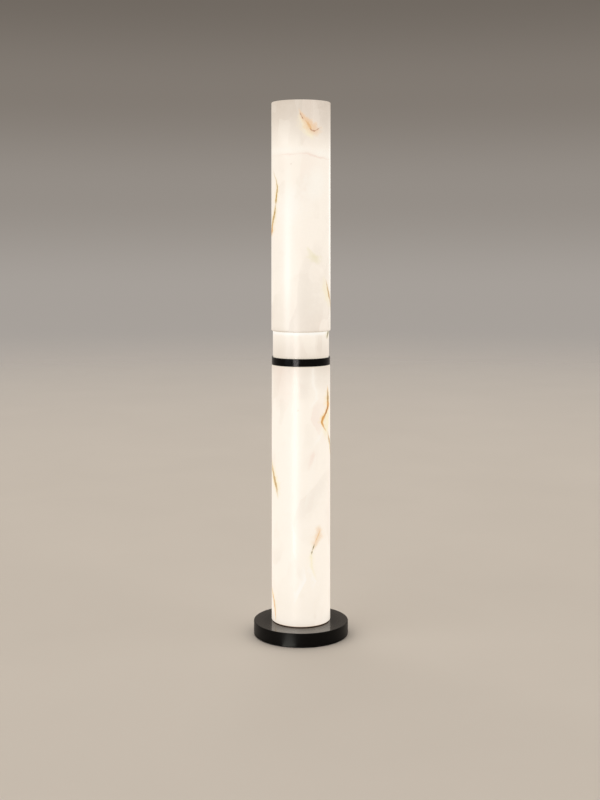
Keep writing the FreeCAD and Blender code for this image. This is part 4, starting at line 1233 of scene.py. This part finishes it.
@dataclass
class Studio:
    """The floor, the surround, the lights and the camera.

    surround gives a colour for each height of the look, from 0 straight down to 1 straight up.
    Each skylight has its name, its way round and height in degrees, and its strength.
    """

    floor_radius: float = 14.0
    surround: tuple[tuple[float, Colour], ...] = (
        (0.0, (0.50, 0.46, 0.42)),
        (0.38, (0.47, 0.435, 0.405)),
        (0.48, (0.385, 0.352, 0.322)),
        (0.52, (0.30, 0.270, 0.242)),
        (0.56, (0.222, 0.195, 0.169)),
        (0.60, (0.162, 0.140, 0.119)),
        (0.75, (0.36, 0.33, 0.30)),
        (1.0, (0.95, 0.875, 0.79)),
    )
    camera_place: Colour = (-0.0025, -3.279, 1.028)
    focal: float = 55.88
    shift_down: float = 0.1954
    panels: tuple[Panel, ...] = (
        Panel("left_window", -52.0, 2.0, 0.86, 0.90, 0.40, 5.5),
        Panel("low_left_panel", -23.0, 1.3, 0.27, 0.42, 0.44, 4.0),
        Panel("right_rim_panel", 150.0, 2.2, 1.14, 0.90, 0.60, 0.95),
        Panel("ring_glint_panel", -19.0, 1.3, 0.605, 0.42, 0.06, 34.0, colour=(1.0, 0.94, 0.92)),
        Panel("far_floor_card", -24.0, 0.95, 0.001, 0.26, 0.60, 3.0, True),
        Panel("near_floor_card", -19.0, 0.181, 0.001, 0.040, 0.11, 5.4, True, -10.5, (1.0, 1.0, 0.9)),
    )
    skylights: tuple[tuple[str, float, float, float], ...] = (
        ("front_left_sky", -55.0, 28.0, 0.60),
        ("right_sky", 80.0, 28.0, 0.32),
        ("back_sky", -165.0, 28.0, 0.55),
    )
    sky_width: float = 60.0
    sky_colour: Colour = (1.0, 0.97, 0.93)

    def build(self) -> None:
        """Makes the floor, the surround, the lights and the camera."""
        self._floor()
        self._world()
        self._skylights()
        for panel in self.panels:
            panel.build()
        self._camera()

    def _floor(self) -> None:
        """A round floor that fades out into the surround."""
        bm = bmesh.new()
        bmesh.ops.create_circle(bm, cap_ends=True, radius=self.floor_radius, segments=FLOOR_STEPS)
        floor = finished("studio_floor", bm)
        Plaster().on(floor)

    def _world(self) -> None:
        """A pale surround, darkest a little above eye level, with a bright ceiling."""
        world = bpy.data.worlds.new("surround")
        bpy.context.scene.world = world
        tree = Tree(world)
        look = tree.node("ShaderNodeTexCoord", out="Generated")
        height = tree.split(look)[2] * 0.5 + 0.5
        sky = tree.ramp(height, self.surround, "EASE")
        light = tree.node("ShaderNodeBackground", sockets={"Color": sky, "Strength": 1.0})
        tree.node("ShaderNodeOutputWorld", sockets={"Surface": light})

    def _skylights(self) -> None:
        """Three wide, soft, distant lamps, which light the floor evenly and which gloss doesn't see."""
        for name, degrees, height, strength in self.skylights:
            data = bpy.data.lights.new(name, "SUN")
            data.energy = strength
            data.angle = math.radians(self.sky_width)
            data.color = self.sky_colour
            turn = (math.radians(90.0 - height), 0.0, math.radians(degrees))
            hang(data, turn).visible_glossy = False

    def _camera(self) -> None:
        """A level camera with the photograph's framing."""
        data = bpy.data.cameras.new("camera")
        data.lens = self.focal
        data.shift_y = -self.shift_down
        camera = bpy.data.objects.new("camera", data)
        camera.location = self.camera_place
        camera.rotation_euler = (math.radians(90.0), 0.0, 0.0)
        bpy.context.scene.collection.objects.link(camera)
        bpy.context.scene.camera = camera
        bpy.context.scene.view_settings.view_transform = "Standard"


def main() -> None:
    """Builds the lamp and its studio in order."""
    logging.basicConfig(level=logging.INFO, format="%(name)s: %(message)s")
    for part in (Studio(), LowerColumn(), Coupling(), Neck(), Sleeve(), Fittings()):
        part.build()


if __name__ == "__main__":
    main()
